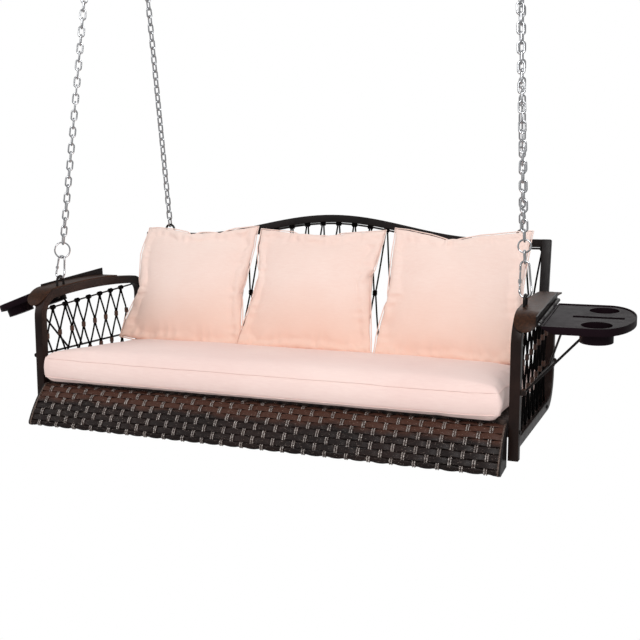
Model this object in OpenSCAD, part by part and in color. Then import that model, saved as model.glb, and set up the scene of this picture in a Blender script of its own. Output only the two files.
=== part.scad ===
// Hanging porch swing seat with woven front roll, corded back and sides, loose
// cushions and two folding side trays, hung on four chains from two ceiling brackets.
// Millimetres. X runs along the seat, the front faces -Y and Z is up. The origin is
// the centre of the four ceiling bolts, on the brackets' top faces.

/* [Seat and frame] */
// Width over the two side frames
seat_w = 1400; // [1200:10:1600]
// Side of the square frame tube
tube = 25; // [22:1:30]
// Height of the arm rail's crest above the feet
arm_h = 367; // [340:1:400]
// Rise of the arm rail's arch
arm_arch = 12; // [4:1:20]
// Outside radius of the arm rail's front bend
arm_bend = 78; // [60:1:95]
// Outside radius of the side frame's lower rear bend
rear_bend = 95; // [70:1:110]
// Height of the side frame's bottom rail above the feet
rail_z = 30; // [20:1:40]
// Thickness of a plastic foot cap
cap_t = 3; // [2:0.5:6]
// Height of the seat frame's middle at the front
seat_z = 70; // [64:1:90]
// Backward slope of the seat, in degrees
seat_slope = 3.4; // [0:0.2:5]
// Depth of the seat frame
seat_d = 493; // [460:1:500]
// Thickness of the woven seat
deck_t = 12; // [8:1:14]

/* [Back] */
// Length of a back post
back_h = 478; // [430:2:540]
// Backward lean of the back, in degrees
back_lean = 9; // [5:0.5:14]
// Rise of the top rail's arch
back_arch = 65; // [30:1:80]
// Half width of the arch
back_arch_half = 490; // [350:10:520]
// Height of the top rail's section
top_rail_h = 20; // [16:1:24]
// Diameter of the rods that carry the cords
rod_d = 5; // [4:0.5:7]
// Diameter of a cord
cord_d = 5.4; // [3:0.2:5.6]
// Spacing of the cord pairs in the back
back_pitch = 53; // [40:1:70]
// Sideways shift of the back's cord pattern
back_shift = 16; // [0:1:20]
// Spacing of the cord pairs in the sides
side_pitch = 59; // [45:1:70]
// Height of a wrapped band
band_h = 18; // [10:1:24]

/* [Front roll] */
// How far the roll's lower edge stands in front of the posts
roll_out = 77; // [50:1:90]
// How far the roll's lower edge hangs below the feet
roll_drop = 21; // [5:1:40]
// Thickness of the woven skin
skin_t = 4; // [3:0.5:6]

/* [Cushions] */
// Thickness of the seat cushion's sides
cushion_t = 82; // [50:1:100]
// Crown of the seat cushion
cushion_crown = 9; // [2:1:16]
// Overhang of the seat cushion in front of the posts
cushion_over = 45; // [20:1:60]
// Room between the left pillow and the side frame
pillow_edge_left = 24; // [10:1:60]
// Room between the right pillow and the side frame
pillow_edge_right = 41; // [10:1:60]
// Height of a back pillow
pillow_h = 392; // [340:4:420]
// Gap between the left and middle pillows
pillow_gap_left = 2; // [1:1:30]
// Gap between the middle and right pillows
pillow_gap_right = 23; // [1:1:30]
// Thickness of a back pillow at its middle
pillow_t = 150; // [100:5:170]
// Lean of the pillows, in degrees
pillow_lean = 24; // [14:0.5:28]

/* [Arm boards and trays] */
// Width of an arm board
board_w = 60; // [50:1:70]
// Length of an arm board behind the front bend
board_d = 330; // [280:5:400]
// Thickness of an arm board
board_t = 4; // [3:0.5:6]
// Reach of a tray from its hinge
tray_reach = 205; // [190:1:230]
// Width of a tray
tray_w = 272; // [262:1:300]
// Depth of a tray's rim
tray_rim = 18; // [14:1:22]
// Forward slope of a tray, in degrees
tray_slope = 4.9; // [2:0.1:7]
// Outward droop of the left tray, in degrees
left_droop = 20; // [0:1:24]
// How much further back the left tray sits
left_back = 116; // [0:2:120]
// Radius of a cup holder
cup_r = 35; // [30:0.5:38]
// Depth of a cup holder below the tray's floor
cup_depth = 36; // [28:1:40]
// Distance between the cup holders' centres
cup_gap = 166; // [150:1:180]
// Diameter of a tray stay's wire
stay_d = 6; // [4:0.5:7]

/* [Chains and hangers] */
// Wire of a chain link
link_wire = 5; // [4:0.2:5.4]
// Outside width of a chain link
link_w = 20.6; // [18:0.2:24]
// Inside length of a chain link
link_in = 24.9; // [22:0.1:30]
// Twist of the chains, in degrees a link
chain_twist = 1; // [0:0.25:1.5]
// Wire of the eye bolts
eye_wire = 7; // [6:0.5:8]
// Leg spacing of the eye bolts
eye_w = 30; // [26:1:36]
// Height of the hanger bars above the feet
bar_z = 1307; // [1200:5:1500]
// Distance of the swing axis behind the posts' front faces
hang_y = 318; // [280:1:350]
// Radius of the pivot bolts
pivot_r = 6; // [5:0.5:8]
// Radius of the ceiling bolt holes
ceiling_hole_r = 5.25; // [4:0.25:7]
// Spacing of a bracket's two ceiling bolts
ceiling_pitch = 200; // [140:5:240]

/* [Hidden] */
$fn = 48;

// Clearances
touch = 0.3;       // between faces that bear on each other
snug = 0.1;        // radial, bolts in their holes
running = 0.05;    // radial, pins in their bores
loose = 0.4;       // between linked wires
weld = 0.8;        // how much a bent wire's corner is fuller than the wire

beyond = 600;      // longer than anything that it cuts

// Frame places
side_d = seat_d + 51;                   // depth of a side frame
side_in = seat_w / 2 - tube;            // inner face of a side frame
back_half = side_in - touch;            // outer face of a back post and of the seat frame
rail_y = side_d * 0.57;                 // crest of the arm rail
rail_half = rail_y - arm_bend;
function rail_top(y) = arm_h - arm_arch * pow((y - rail_y) / rail_half, 2);
bend_z = rail_top(arm_bend) - arm_bend; // centre of the front bend
rear_top = 60;                          // radius of the upper rear bend
rod_front_z = bend_z + 20;
rod_rise = 0.073;                       // slope of the side rods
function rod_z(y) = rod_front_z + rod_rise * (y - tube);
back_y = seat_d + 1.5;                  // front face of a back post at its foot
back_z = rail_z;
post_bolt_z = 146;
rear_bolt_y = seat_d - 69;

// Ironmongery
bolt_r = 3;
nut_r = 6;
nut_h = 5;

// Cord lattices
side_row = 80;                          // drop from one row of bands to the next
side_n = floor((side_d - 2 * tube - 40) / side_pitch);
back_n = floor((back_half - tube - back_shift - 30) / back_pitch);
back_foot = 42;                         // where the back cords meet the seat's rear rail
rows = [1, 0.57, 0.205, 0];             // heights of the rows in the back
band_w = 2 * cord_d + 4;
band_t = cord_d + 4;

// Arm boards, trays and stays
board_x = side_in + 1;
hinge_x = board_x + board_w + 9;
hinge_y = -50;
hinge_z = 336;
barrel_r = 5;
hinge_pin_r = 2.5;
knuckle = 40;                           // length of a hinge knuckle
tray_edge = 75;                         // depth of the tray's rounded end
tray_gap = 2;                           // tray behind the hinge barrel
floor_t = 3.5;
lip = 3;
wall = 3;
drain_r = 5.5;                          // hole in the bottom of a cup holder
cup_x = 124;                            // cup centres, from the hinge
cup_y = (tray_w - cup_gap) / 2;
stay_x = side_in + tube + stay_d / 2 + 4;
stay_z = 165;
stay_front = 42;
stay_front_left = left_back + 48;
stay_rear = side_d - 149;
stay_end = side_d - 48;

// Hardware on the chains
ring_wire = 4.5;
ring_left_d = 50;
ring_right_d = 36;
hook_wire = 5.5;
hook_left = 72;                         // lengths over all
hook_right = 94;
join_in = 27;
arm_eye_y = 109;
eye_rise = 27;                          // height of an eye's wire middle above its seat
eye_cut = 60;                           // depth of the holes for an eye's legs
back_eye_in = 84.7;                     // rear eyes inside the back posts' outer faces
chain_in = 59.5;                        // how far a front chain leans inwards
back_eye_x = back_half - back_eye_in;
bar_front = [side_in + tube / 2 - chain_in, hang_y - 111];   // where the chains' tops hang, X and Y
bar_rear = [back_eye_x, hang_y + 150];
bar_w = 64;
bar_t = 8;
lug_t = 8;
ear_gap = lug_t + 2;
ear_t = 6;
plate_t = 6;
pivot_z = bar_z + bar_t + 32;
ceiling_z = pivot_z + 46;
bar_x = (bar_front[0] + bar_rear[0]) / 2;

// Soft parts
cushion_d = seat_d + 29;
pillow_w = (2 * side_in - pillow_edge_left - pillow_gap_left - pillow_gap_right - pillow_edge_right) / 3;

// ---- helpers ----
module in_place() { translate([0, -hang_y, -ceiling_z]) children(); }
module both() { children(); mirror([1, 0, 0]) children(); }
module on_side(s) { if (s > 0) children(); else mirror([1, 0, 0]) children(); }
module seat_place() { translate([0, 0, seat_z]) rotate([-seat_slope, 0, 0]) children(); }
module back_place() { translate([0, back_y, back_z]) rotate([-back_lean, 0, 0]) children(); }
function droop(s) = s > 0 ? 0 : left_droop;
function back(s) = s > 0 ? 0 : left_back;
// the frame of a side's tray hinge, whose axis is Y
module hinge_place(s) {
    translate([hinge_x, hinge_y, hinge_z]) rotate([tray_slope, 0, 0]) translate([0, back(s), 0]) children();
}
// a point of the tray's own frame, in the seat's
function tray_point(s, p) = let (x = p[0] * cos(droop(s)) + p[2] * sin(droop(s)), y = p[1] + back(s),
    z = p[2] * cos(droop(s)) - p[0] * sin(droop(s)))
    [hinge_x + x, hinge_y + y * cos(tray_slope) - z * sin(tray_slope),
        hinge_z + y * sin(tray_slope) + z * cos(tray_slope)];
// a profile drawn in Y and Z, pushed out along X from x0
module along_x(x0, w) { translate([x0, 0, 0]) rotate([90, 0, 90]) linear_extrude(w) children(); }
module rod_x(x0, w, r) { translate([x0, 0, 0]) rotate([0, 90, 0]) cylinder(r = r, h = w); }

function arc(c, r, a0, a1, n) = [for (i = [0:n]) let (a = a0 + (a1 - a0) * i / n) c + r * [cos(a), sin(a)]];
// rotation that turns +Z to the direction v
function pitch_of(v) = [0, acos(v[2] / norm(v)), atan2(v[1], v[0])];

// a straight round bar between two points
module bar(a, b, d) {
    translate(a) rotate(pitch_of(b - a)) cylinder(d = d, h = norm(b - a));
}

// a solid from a top and a bottom sheet of (nx + 1) by (ny + 1) points
module sheet_solid(nx, ny, top, bottom) {
    n = (nx + 1) * (ny + 1);
    function at(i, j) = j * (nx + 1) + i;
    pts = concat([for (j = [0:ny], i = [0:nx]) top(2 * i / nx - 1, 2 * j / ny - 1)],
        [for (j = [0:ny], i = [0:nx]) bottom(2 * i / nx - 1, 2 * j / ny - 1)]);
    caps = [for (j = [0:ny - 1], i = [0:nx - 1])
        let (a = at(i, j), b = at(i + 1, j), c = at(i + 1, j + 1), d = at(i, j + 1))
        each [[a, d, c], [a, c, b], [n + a, n + b, n + c], [n + a, n + c, n + d]]];
    ends = [for (i = [0:nx - 1]) let (a = at(i, 0), b = at(i + 1, 0), p = at(i, ny), q = at(i + 1, ny))
        each [[a, b, n + b], [a, n + b, n + a], [q, p, n + p], [q, n + p, n + q]]];
    sides = [for (j = [0:ny - 1]) let (a = at(0, j), b = at(0, j + 1), p = at(nx, j), q = at(nx, j + 1))
        each [[b, a, n + a], [b, n + a, n + b], [p, q, n + q], [p, n + q, n + p]]];
    polyhedron(pts, concat(caps, ends, sides));
}

// a link with straight sides, drawn in X and Z about its middle
module link(inner, wide, wire) {
    r = (wide - wire) / 2;
    s = inner / 2 + wire / 2 - r;
    for (k = [-1, 1]) {
        translate([k * r, 0, -s]) cylinder(d = wire, h = 2 * s);
        translate([0, 0, k * s]) rotate([k * 90, 0, 0])
            rotate_extrude(angle = 180) translate([r, 0]) circle(d = wire);
    }
}
module ring(outer, wire) {
    rotate([90, 0, 0]) rotate_extrude() translate([(outer - wire) / 2, 0]) circle(d = wire);
}
// an eye bolt: legs run down from the bow, which lies in X and Z with its top wire at z = 0
module eye_bolt(leg) {
    r = eye_w / 2;
    translate([0, 0, -r]) {
        rotate([90, 0, 0]) rotate_extrude(angle = 180) translate([r, 0]) circle(d = eye_wire);
        for (k = [-1, 1]) translate([k * r, 0, -leg]) cylinder(d = eye_wire, h = leg);
    }
}
module eye_holes(leg) {
    for (k = [-1, 1]) translate([k * eye_w / 2, 0, -eye_w / 2 - leg]) cylinder(r = eye_wire / 2 + snug, h = leg);
}
module hex_nut(bore) {
    difference() {
        cylinder(r = nut_r, h = nut_h, $fn = 6);
        translate([0, 0, -1]) cylinder(r = bore, h = nut_h + 2);
    }
}
eye_nut_r = eye_wire * 0.95;
module eye_nut() {
    difference() {
        cylinder(r = eye_nut_r, h = nut_h, $fn = 6);
        translate([0, 0, -1]) cylinder(r = eye_wire / 2 + snug, h = nut_h + 2);
    }
}

// ---- chain routes ----
arm_eye_x = side_in + tube / 2;
arm_eye_z = rail_top(arm_eye_y) + board_t + eye_rise;
arm_eye = [arm_eye_x, arm_eye_y, arm_eye_z];
function back_point(x, dy, u) = [x, back_y + dy * cos(back_lean) + u * sin(back_lean),
    back_z + u * cos(back_lean) - dy * sin(back_lean)];
back_eye = back_point(back_eye_x, tube / 2, back_h) + [0, 0, eye_rise];
hook_top_z = bar_z - eye_w / 2 - 12;
top_front = [bar_front[0], bar_front[1], hook_top_z];
top_rear = [bar_rear[0], bar_rear[1], hook_top_z];

// places children in the frame of a chain that runs from a to b
module chain_place(a, b) { translate(a) rotate(pitch_of(b - a)) children(); }
// turn about the chain that undoes the heading of the frame
function heading(a, b) = -pitch_of(b - a)[2];

// links from z0 to z1, the middles of the wires that they hang on
module chain_run(z0, z1, wire0, wire1, first) {
    low = z0 + link_in / 2 - wire0 / 2 - loose;
    high = z1 - link_in / 2 + wire1 / 2 + loose;
    n = 1 + ceil((high - low) / (link_in - 0.2));
    step = (high - low) / (n - 1);
    for (i = [0:n - 1])
        translate([0, 0, low + i * step])
            rotate([0, 0, first + (i % 2) * 90 + chain_twist * i])
                link(link_in, link_w, link_wire);
}
function last_turn(z0, z1, wire0, wire1, first) =
    let (span = z1 - z0 - link_in + wire0 / 2 + wire1 / 2 + 2 * loose, n = 1 + ceil(span / (link_in - 0.2)))
    first + ((n - 1) % 2) * 90 + chain_twist * (n - 1);

front_len = norm(top_front - arm_eye);
rear_len = norm(top_rear - back_eye);
// wire middles up the front chains: hook, then ring on the left or link and ring on the right
hook_low = eye_wire / 2 + hook_wire / 2 + loose;
function hook_head(len) = len - hook_low - 1.5 * hook_wire - loose;   // underside of a hook's head
left_ring_z = hook_head(hook_left) + ring_left_d / 2 - ring_wire;
left_start = left_ring_z + ring_left_d / 2 - ring_wire / 2;
join_z = hook_head(hook_right) + join_in / 2;
right_ring_z = join_z + join_in / 2 - ring_wire / 2 - loose + ring_right_d / 2 - ring_wire / 2;
right_start = right_ring_z + ring_right_d / 2 - ring_wire / 2;
left_turn = 35;
right_turn = 90;

// ---- ceiling brackets and hanger bars ----
module ceiling_bracket(s) color([0.16, 0.15, 0.15]) in_place() on_side(s) {
    difference() {
        union() {
            translate([bar_x - 30, hang_y - ceiling_pitch / 2 - 25, ceiling_z - plate_t])
                cube([60, ceiling_pitch + 50, plate_t]);
            for (x = [bar_x - ear_gap / 2 - ear_t, bar_x + ear_gap / 2])
                along_x(x, ear_t) polygon(concat(
                    [[hang_y + 28, ceiling_z - plate_t], [hang_y - 28, ceiling_z - plate_t]],
                    arc([hang_y, pivot_z], 16, 180, 360, 16)));
        }
        for (k = [-1, 1]) translate([bar_x, hang_y + k * ceiling_pitch / 2, ceiling_z - plate_t - 1])
            cylinder(r = ceiling_hole_r, h = plate_t + 2);
        translate([0, hang_y, pivot_z]) rod_x(bar_x - 20, 40, pivot_r + running);
    }
}

module pivot_bolts() color([0.75, 0.76, 0.78]) in_place() both()
    translate([0, hang_y, pivot_z]) {
        half = ear_gap / 2 + ear_t;
        rod_x(bar_x - half - 10, 2 * half + 14, pivot_r);
        translate([bar_x + half + touch, 0, 0]) rotate([0, 90, 0]) cylinder(r = 10, h = 7, $fn = 6);
        difference() {
            translate([bar_x - half - touch - 8, 0, 0]) rotate([0, 90, 0]) cylinder(r = 10, h = 8, $fn = 6);
            rod_x(bar_x - half - 12, 14, pivot_r);
        }
    }

module hanger_bar(s) color([0.16, 0.15, 0.15]) in_place() on_side(s) difference() {
    union() {
        translate([bar_x - bar_w / 2, bar_front[1] - 28, bar_z])
            cube([bar_w, bar_rear[1] - bar_front[1] + 56, bar_t]);
        along_x(bar_x - lug_t / 2, lug_t) polygon(concat([[hang_y + 40, bar_z + bar_t], [hang_y + 15, pivot_z]],
            arc([hang_y, pivot_z], 15, 0, 180, 16), [[hang_y - 40, bar_z + bar_t]]));
    }
    translate([0, hang_y, pivot_z]) rod_x(bar_x - 20, 40, pivot_r + 1.5 * running);
    bar_eyes(s) mirror([0, 0, 1]) eye_holes(40);
}

front_left_turn = last_turn(left_start, front_len, ring_wire, eye_wire, left_turn);
front_right_turn = last_turn(right_start, front_len, ring_wire, eye_wire, right_turn);
rear_turn = last_turn(0, rear_len, eye_wire, eye_wire, 90);
// children at the two ends of a hanger bar
module bar_eyes(s) {
    translate(top_front) rotate([0, 0, (s > 0 ? front_right_turn : front_left_turn) + 90]) children();
    translate(top_rear) rotate([0, 0, rear_turn + 90]) children();
}
module hanger_eyes() color([0.13, 0.12, 0.12]) in_place() for (s = [-1, 1]) on_side(s)
    bar_eyes(s) mirror([0, 0, 1]) eye_bolt(12 + bar_t + nut_h + 2);

// ---- chains ----
module front_chain(s, start, first) color([0.8, 0.81, 0.83]) in_place() on_side(s)
    chain_place(arm_eye, top_front) rotate([0, 0, heading(arm_eye, top_front)])
        chain_run(start, front_len, ring_wire, eye_wire, first);
module rear_chain(s) color([0.8, 0.81, 0.83]) in_place() on_side(s)
    chain_place(back_eye, top_rear) rotate([0, 0, heading(back_eye, top_rear)])
        chain_run(0, rear_len, eye_wire, eye_wire, 90);
module on_front_chain(s) in_place() on_side(s)
    chain_place(arm_eye, top_front) rotate([0, 0, heading(arm_eye, top_front)]) children();

module ring_left() color([0.8, 0.81, 0.83]) on_front_chain(-1)
    translate([0, 0, left_ring_z]) rotate([0, 0, left_turn + 90]) ring(ring_left_d, ring_wire);
module ring_right() color([0.8, 0.81, 0.83]) on_front_chain(1)
    translate([0, 0, right_ring_z]) ring(ring_right_d, ring_wire);
module joining_link() color([0.8, 0.81, 0.83]) on_front_chain(1)
    translate([0, 0, join_z]) rotate([0, 0, 90]) link(join_in, link_w, link_wire);

// a pear-shaped spring hook: a wide foot, a narrow head and a gate on one side
hook_foot_r = 14.5;
hook_head_r = 10.5;
module hook_arc(r, a0, a1) rotate([90, 0, 0]) rotate([0, 0, a0])
    rotate_extrude(angle = a1 - a0) translate([r, 0]) circle(d = hook_wire);
// both gates face the same way along X
function hook_facing(s) = s > 0 ? 0 : 180;
module carabiner(s, len) color([0.8, 0.81, 0.83]) on_front_chain(s)
    translate([0, 0, -hook_low - hook_wire / 2]) rotate([0, 0, hook_facing(s)]) {
        low = hook_foot_r + hook_wire / 2;
        high = len - hook_head_r - hook_wire / 2;
        translate([0, 0, low]) hook_arc(hook_foot_r, 180, 360);
        translate([0, 0, high]) hook_arc(hook_head_r, 0, 180);
        bar([hook_foot_r, 0, low], [hook_head_r, 0, high], hook_wire);
        bar([-hook_foot_r, 0, low], hook_side(low, high, gate_foot), hook_wire);
        bar(hook_side(low, high, gate_top + 0.012), [-hook_head_r, 0, high], hook_wire);
        for (k = [-1, 1]) {
            translate([k * hook_foot_r, 0, low]) sphere(d = hook_wire + weld);
            translate([k * hook_head_r, 0, high]) sphere(d = hook_wire + weld);
        }
    }
gate_wire = hook_wire - 0.7;
gate_foot = 0.16;                       // where the gate starts and ends, as shares of the straight side
gate_top = 0.79;
function gate_pivot(low, high) =
    hook_side(low, high, gate_foot + (gate_wire / 2 + weld / 2 + touch) / (high - low));
function hook_side(low, high, k) = [-hook_foot_r + (hook_foot_r - hook_head_r) * k, 0, low + (high - low) * k];
module gate(s, len) color([0.7, 0.71, 0.73]) on_front_chain(s)
    translate([0, 0, -hook_low - hook_wire / 2]) rotate([0, 0, hook_facing(s)]) {
        low = hook_foot_r + hook_wire / 2;
        high = len - hook_head_r - hook_wire / 2;
        pivot = gate_pivot(low, high);
        translate(pivot) sphere(d = gate_wire + weld);
        bar(pivot, hook_side(low, high, gate_top), gate_wire);
        bar(hook_side(low, high, 0.32), hook_side(low, high, 0.48), gate_wire + 4);
    }

// ---- eye bolts on the seat ----
module arm_eyes_at() both() translate(arm_eye) rotate([0, 0, 90]) children();
module back_eyes_at() both() translate(back_eye) children();
arm_leg = eye_rise - eye_w / 2 + board_t + tube + nut_h + 5;
back_leg = eye_rise - eye_w / 2 + top_rail_h;
module arm_eyes() color([0.07, 0.07, 0.07]) in_place() arm_eyes_at() eye_bolt(arm_leg);
module back_eyes() color([0.07, 0.07, 0.07]) in_place() back_eyes_at() eye_bolt(back_leg);
module eye_nuts() color([0.07, 0.07, 0.07]) in_place() {
    arm_eyes_at() for (k = [-1, 1]) translate([k * eye_w / 2, 0, -eye_w / 2 - arm_leg + 2]) eye_nut();
    for (s = [-1, 1]) on_side(s) bar_eyes(s) mirror([0, 0, 1]) for (k = [-1, 1])
        translate([k * eye_w / 2, 0, -eye_w / 2 - 12 - bar_t - nut_h - touch]) eye_nut();
}

// ---- side frames ----
// outline of the bent tube at a distance in from its outer face
module side_outline(inset) {
    r = arm_bend - inset;
    turn = atan(2 * arm_arch * rail_half / (rail_half * rail_half));
    rise = [for (i = [0:12]) let (y = arm_bend + (side_d - rear_top - arm_bend) * i / 12) [y, rail_top(y) - inset]];
    foot = inset > 0 ? [[inset, rail_z + inset]] : [[tube, rail_z], [tube, cap_t], [0, cap_t]];
    polygon(concat(
        foot,
        arc([arm_bend, bend_z], r, 180, 90 + turn, 12),
        rise,
        arc([side_d - rear_top, rail_top(side_d - rear_top) - rear_top], rear_top - inset, 85, 0, 10),
        arc([side_d - rear_bend, rail_z + rear_bend], rear_bend - inset, 0, -90, 14)));
}
module side_frame(s) color([0.2, 0.13, 0.11]) in_place() on_side(s) difference() {
    along_x(side_in, tube) difference() {
        side_outline(0);
        side_outline(tube);
    }
    side_bolts() rod_x(side_in - 1, tube + 2, bolt_r + snug);
    translate(arm_eye) rotate([0, 0, 90]) eye_holes(eye_cut);
}
// children at the bolts that join a side frame to the seat frame and the back
module side_bolts() {
    translate([0, tube / 2, seat_z - tube / 2 * tan(seat_slope)]) children();
    translate([0, rear_bolt_y, seat_z - rear_bolt_y * tan(seat_slope)]) children();
    translate([0, side_d - tube / 2 - 5, post_bolt_z]) children();
}
module frame_bolts() color([0.1, 0.1, 0.1]) in_place() both() side_bolts() {
    rod_x(side_in - tube - nut_h - 2, 2 * tube + nut_h + 2 + 0.5, bolt_r);
    translate([side_in + tube + touch, 0, 0]) rotate([0, 90, 0]) cylinder(r1 = 6, r2 = 4, h = 3);
    translate([back_half - tube - nut_h - touch, 0, 0]) rotate([0, 90, 0]) hex_nut(bolt_r + snug);
}
module foot_caps() color([0.06, 0.06, 0.06]) in_place() both()
    translate([side_in, 0, 0]) cube([tube, tube, cap_t]);

// the rod runs from bend to bend of the tube's inner face
rod_y0 = arm_bend - sqrt(pow(arm_bend - tube, 2) - pow(rod_front_z - bend_z, 2)) + 1.5;
rod_y1 = side_d - rear_top + 6;
module side_rods() color([0.08, 0.07, 0.07]) in_place() both()
    bar([arm_eye_x, rod_y0, rod_z(rod_y0)], [arm_eye_x, rod_y1, rod_z(rod_y1)], rod_d);

// ---- cords: each pair of cords meets its neighbours at wrapped bands ----
side_y0 = 69;
module side_strand(y0, z0, y1, z1) bar([arm_eye_x, y0, z0], [arm_eye_x, y1, z1], cord_d);
cord_off = cord_d / 2 + 0.15;
cord_gap = 1;                           // a slanting cord's end to what it meets
function side_row_z(y, j) = rod_z(y) - j * side_row;
module side_cords(s) color([0.05, 0.05, 0.05]) in_place() on_side(s)
    for (i = [0:side_n - 1], k = [-1, 1]) {
        y = side_y0 + i * side_pitch;
        near = y + k * cord_off;
        far = y + k * (side_pitch / 2 - cord_off);
        mid = side_row_z(y + k * side_pitch / 2, 1);
        low = side_row_z(y, 2);
        side_strand(near, rod_z(near) - rod_d / 2 - cord_gap, far, mid + band_h / 2 + cord_gap);
        side_strand(far, mid - band_h / 2 - cord_gap, near, low + band_h / 2 + cord_gap);
        side_strand(near, low - band_h / 2 - cord_gap, far, rail_z + tube + cord_gap);
    }
module side_band(y, z) translate([arm_eye_x - band_t / 2, y - band_w / 2, z - band_h / 2])
    cube([band_t, band_w, band_h]);
module side_bands(s) color([0.2, 0.11, 0.08]) in_place() on_side(s) {
    for (i = [0:side_n]) let (y = side_y0 + (i - 0.5) * side_pitch) side_band(y, side_row_z(y, 1));
    for (i = [0:side_n - 1]) let (y = side_y0 + i * side_pitch) side_band(y, side_row_z(y, 2));
}

// ---- back frame, leaning ----
function crest(x) = back_h + back_arch * (abs(x) < back_arch_half ? (1 + cos(180 * x / back_arch_half)) / 2 : 0);
crest_xs = [for (i = [-24:24]) i * (back_half - tube) / 24];
module crest_strip(top, bottom) polygon(concat([for (x = crest_xs) [x, crest(x) - top]],
    [for (i = [len(crest_xs) - 1:-1:0]) [crest_xs[i], crest(crest_xs[i]) - bottom]]));
module back_frame() color([0.09, 0.07, 0.07]) in_place() difference() {
    back_place() {
        for (x = [-back_half, back_half - tube]) translate([x, 0, 0]) cube([tube, tube, back_h]);
        translate([0, tube / 2 + top_rail_h / 2, 0]) rotate([90, 0, 0]) linear_extrude(top_rail_h)
            crest_strip(0, top_rail_h + 2);
    }
    both() {
        side_bolts() rod_x(back_half - tube - 1, tube + 2, bolt_r + snug);
        translate(back_eye) eye_holes(eye_cut);
    }
}
rod_gap = 2;
module back_rod() color([0.08, 0.07, 0.07]) in_place() back_place()
    translate([0, tube / 2 + rod_d / 2, 0]) rotate([90, 0, 0]) linear_extrude(rod_d)
        crest_strip(top_rail_h + 2 + rod_gap, top_rail_h + 2 + rod_gap + rod_d);

module back_strand(x0, z0, x1, z1) bar([x0, tube / 2, z0], [x1, tube / 2, z1], cord_d);
function rod_under(x) = crest(x) - top_rail_h - 2 - rod_gap - rod_d;
function row_z(x, j) = back_foot + rows[j] * (rod_under(x) - back_foot);
module back_cords() color([0.05, 0.05, 0.05]) in_place() back_place()
    for (i = [-back_n:back_n], k = [-1, 1]) {
        x = back_shift + i * back_pitch;
        near = x + k * cord_off;
        far = x + k * (back_pitch / 2 - cord_off);
        mid = x + k * back_pitch / 2;
        back_strand(near, rod_under(near) - cord_gap, far, row_z(mid, 1) + band_h / 2 + cord_gap);
        back_strand(far, row_z(mid, 1) - band_h / 2 - cord_gap, near, row_z(x, 2) + band_h / 2 + cord_gap);
        back_strand(near, row_z(x, 2) - band_h / 2 - cord_gap, far, back_foot);
    }
module back_band(x, z) translate([x - band_w / 2, tube / 2 - band_t / 2, z - band_h / 2])
    cube([band_w, band_t, band_h]);
module back_bands() color([0.08, 0.06, 0.06]) in_place() back_place() {
    for (i = [-back_n:back_n + 1]) let (x = back_shift + (i - 0.5) * back_pitch) back_band(x, row_z(x, 1));
    for (i = [-back_n:back_n]) let (x = back_shift + i * back_pitch) back_band(x, row_z(x, 2));
}

// ---- seat frame, sloping ----
cross_xs = [-back_half / 3, back_half / 3];
module seat_frame() color([0.09, 0.07, 0.07]) in_place() difference() {
    seat_place() {
        for (y = [0, seat_d - tube]) translate([-back_half, y, -tube / 2]) cube([2 * back_half, tube, tube]);
        for (x = concat([-back_half, back_half - tube], cross_xs - [tube / 2, tube / 2]))
            translate([x, tube - 1, -tube / 2]) cube([tube, seat_d - 2 * tube + 2, tube]);
        // cord rail across the foot of the back
        translate([-back_half + tube, seat_d - 1, tube / 2 - 6]) cube([2 * (back_half - tube), 22, 6]);
    }
    both() side_bolts() {
        rod_x(back_half - tube - 1, tube + 2, bolt_r + snug);
        rod_x(back_half - tube - 2 * nut_h, 2 * nut_h, nut_r + 1);
    }
}
module seat_deck() color([0.22, 0.14, 0.11]) in_place() seat_place()
    translate([-back_half + 2, deck_front, tube / 2 + touch])
        cube([2 * back_half - 4, seat_d - deck_front - 2, deck_t]);

// ---- front roll ----
// the woven skin runs over the seat's front rail and round a rod below it
deck_front = 16;
roll_half = side_in - 6;
roll_lip = 9;
roll_sag = 6;
rail_corner = [-touch, seat_z + tube / 2 + touch];
roll_rod = [-roll_out + roll_lip, -roll_drop + roll_lip];
roll_dir = roll_rod - rail_corner;
roll_normal = [roll_dir[1], -roll_dir[0]] / norm(roll_dir);
roll_turn = atan2(roll_normal[1], roll_normal[0]);
hem_turn = 300;                         // where the skin's hem ends under the rod, in degrees
roll_back = -touch - tube / 2 * sin(seat_slope);
// points down the roll's slanting face, at a depth inside the outer face
function roll_face(depth) = [for (i = [0:12]) let (k = i / 12)
    rail_corner + roll_dir * k
        + roll_normal * (skin_t - depth + (roll_lip - skin_t) * k + 4 * roll_sag * k * (1 - k))];
module front_roll() color([0.22, 0.14, 0.11]) in_place() along_x(-roll_half, 2 * roll_half) {
    inside = roll_face(skin_t);
    hem = arc(roll_rod, roll_lip - skin_t, roll_turn, hem_turn, 8);
    polygon(concat([[deck_front - touch, rail_corner[1] + skin_t]],
        arc(rail_corner, skin_t, 90, roll_turn - 8, 4),
        roll_face(0), arc(roll_rod, roll_lip, roll_turn + 12, hem_turn, 8),
        [for (i = [8:-1:1]) hem[i]], [for (i = [12:-1:1]) inside[i]],
        [rail_corner, [deck_front - touch, rail_corner[1]]]));
}
module roll_ends() color([0.12, 0.08, 0.07]) in_place() both()
    along_x(roll_half + touch, skin_t) polygon(concat(arc(rail_corner, skin_t, 90, roll_turn - 8, 4),
        roll_face(0), arc(roll_rod, roll_lip, roll_turn + 12, 270, 6),
        [[roll_back, roll_rod[1] - 3], [roll_back, rail_corner[1]]]));
module roll_frame() color([0.09, 0.07, 0.07]) in_place() {
    translate([0, roll_rod[0], roll_rod[1]]) rod_x(-roll_half, 2 * roll_half, roll_lip - skin_t - touch);
    for (x = [-roll_half, -roll_half / 3, roll_half / 3, roll_half - 6])
        along_x(x, 6) polygon([[roll_back, seat_z - 12], [roll_back, seat_z + 2], roll_rod + 3 * roll_normal,
            roll_rod - 3 * roll_normal]);
}

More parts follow.
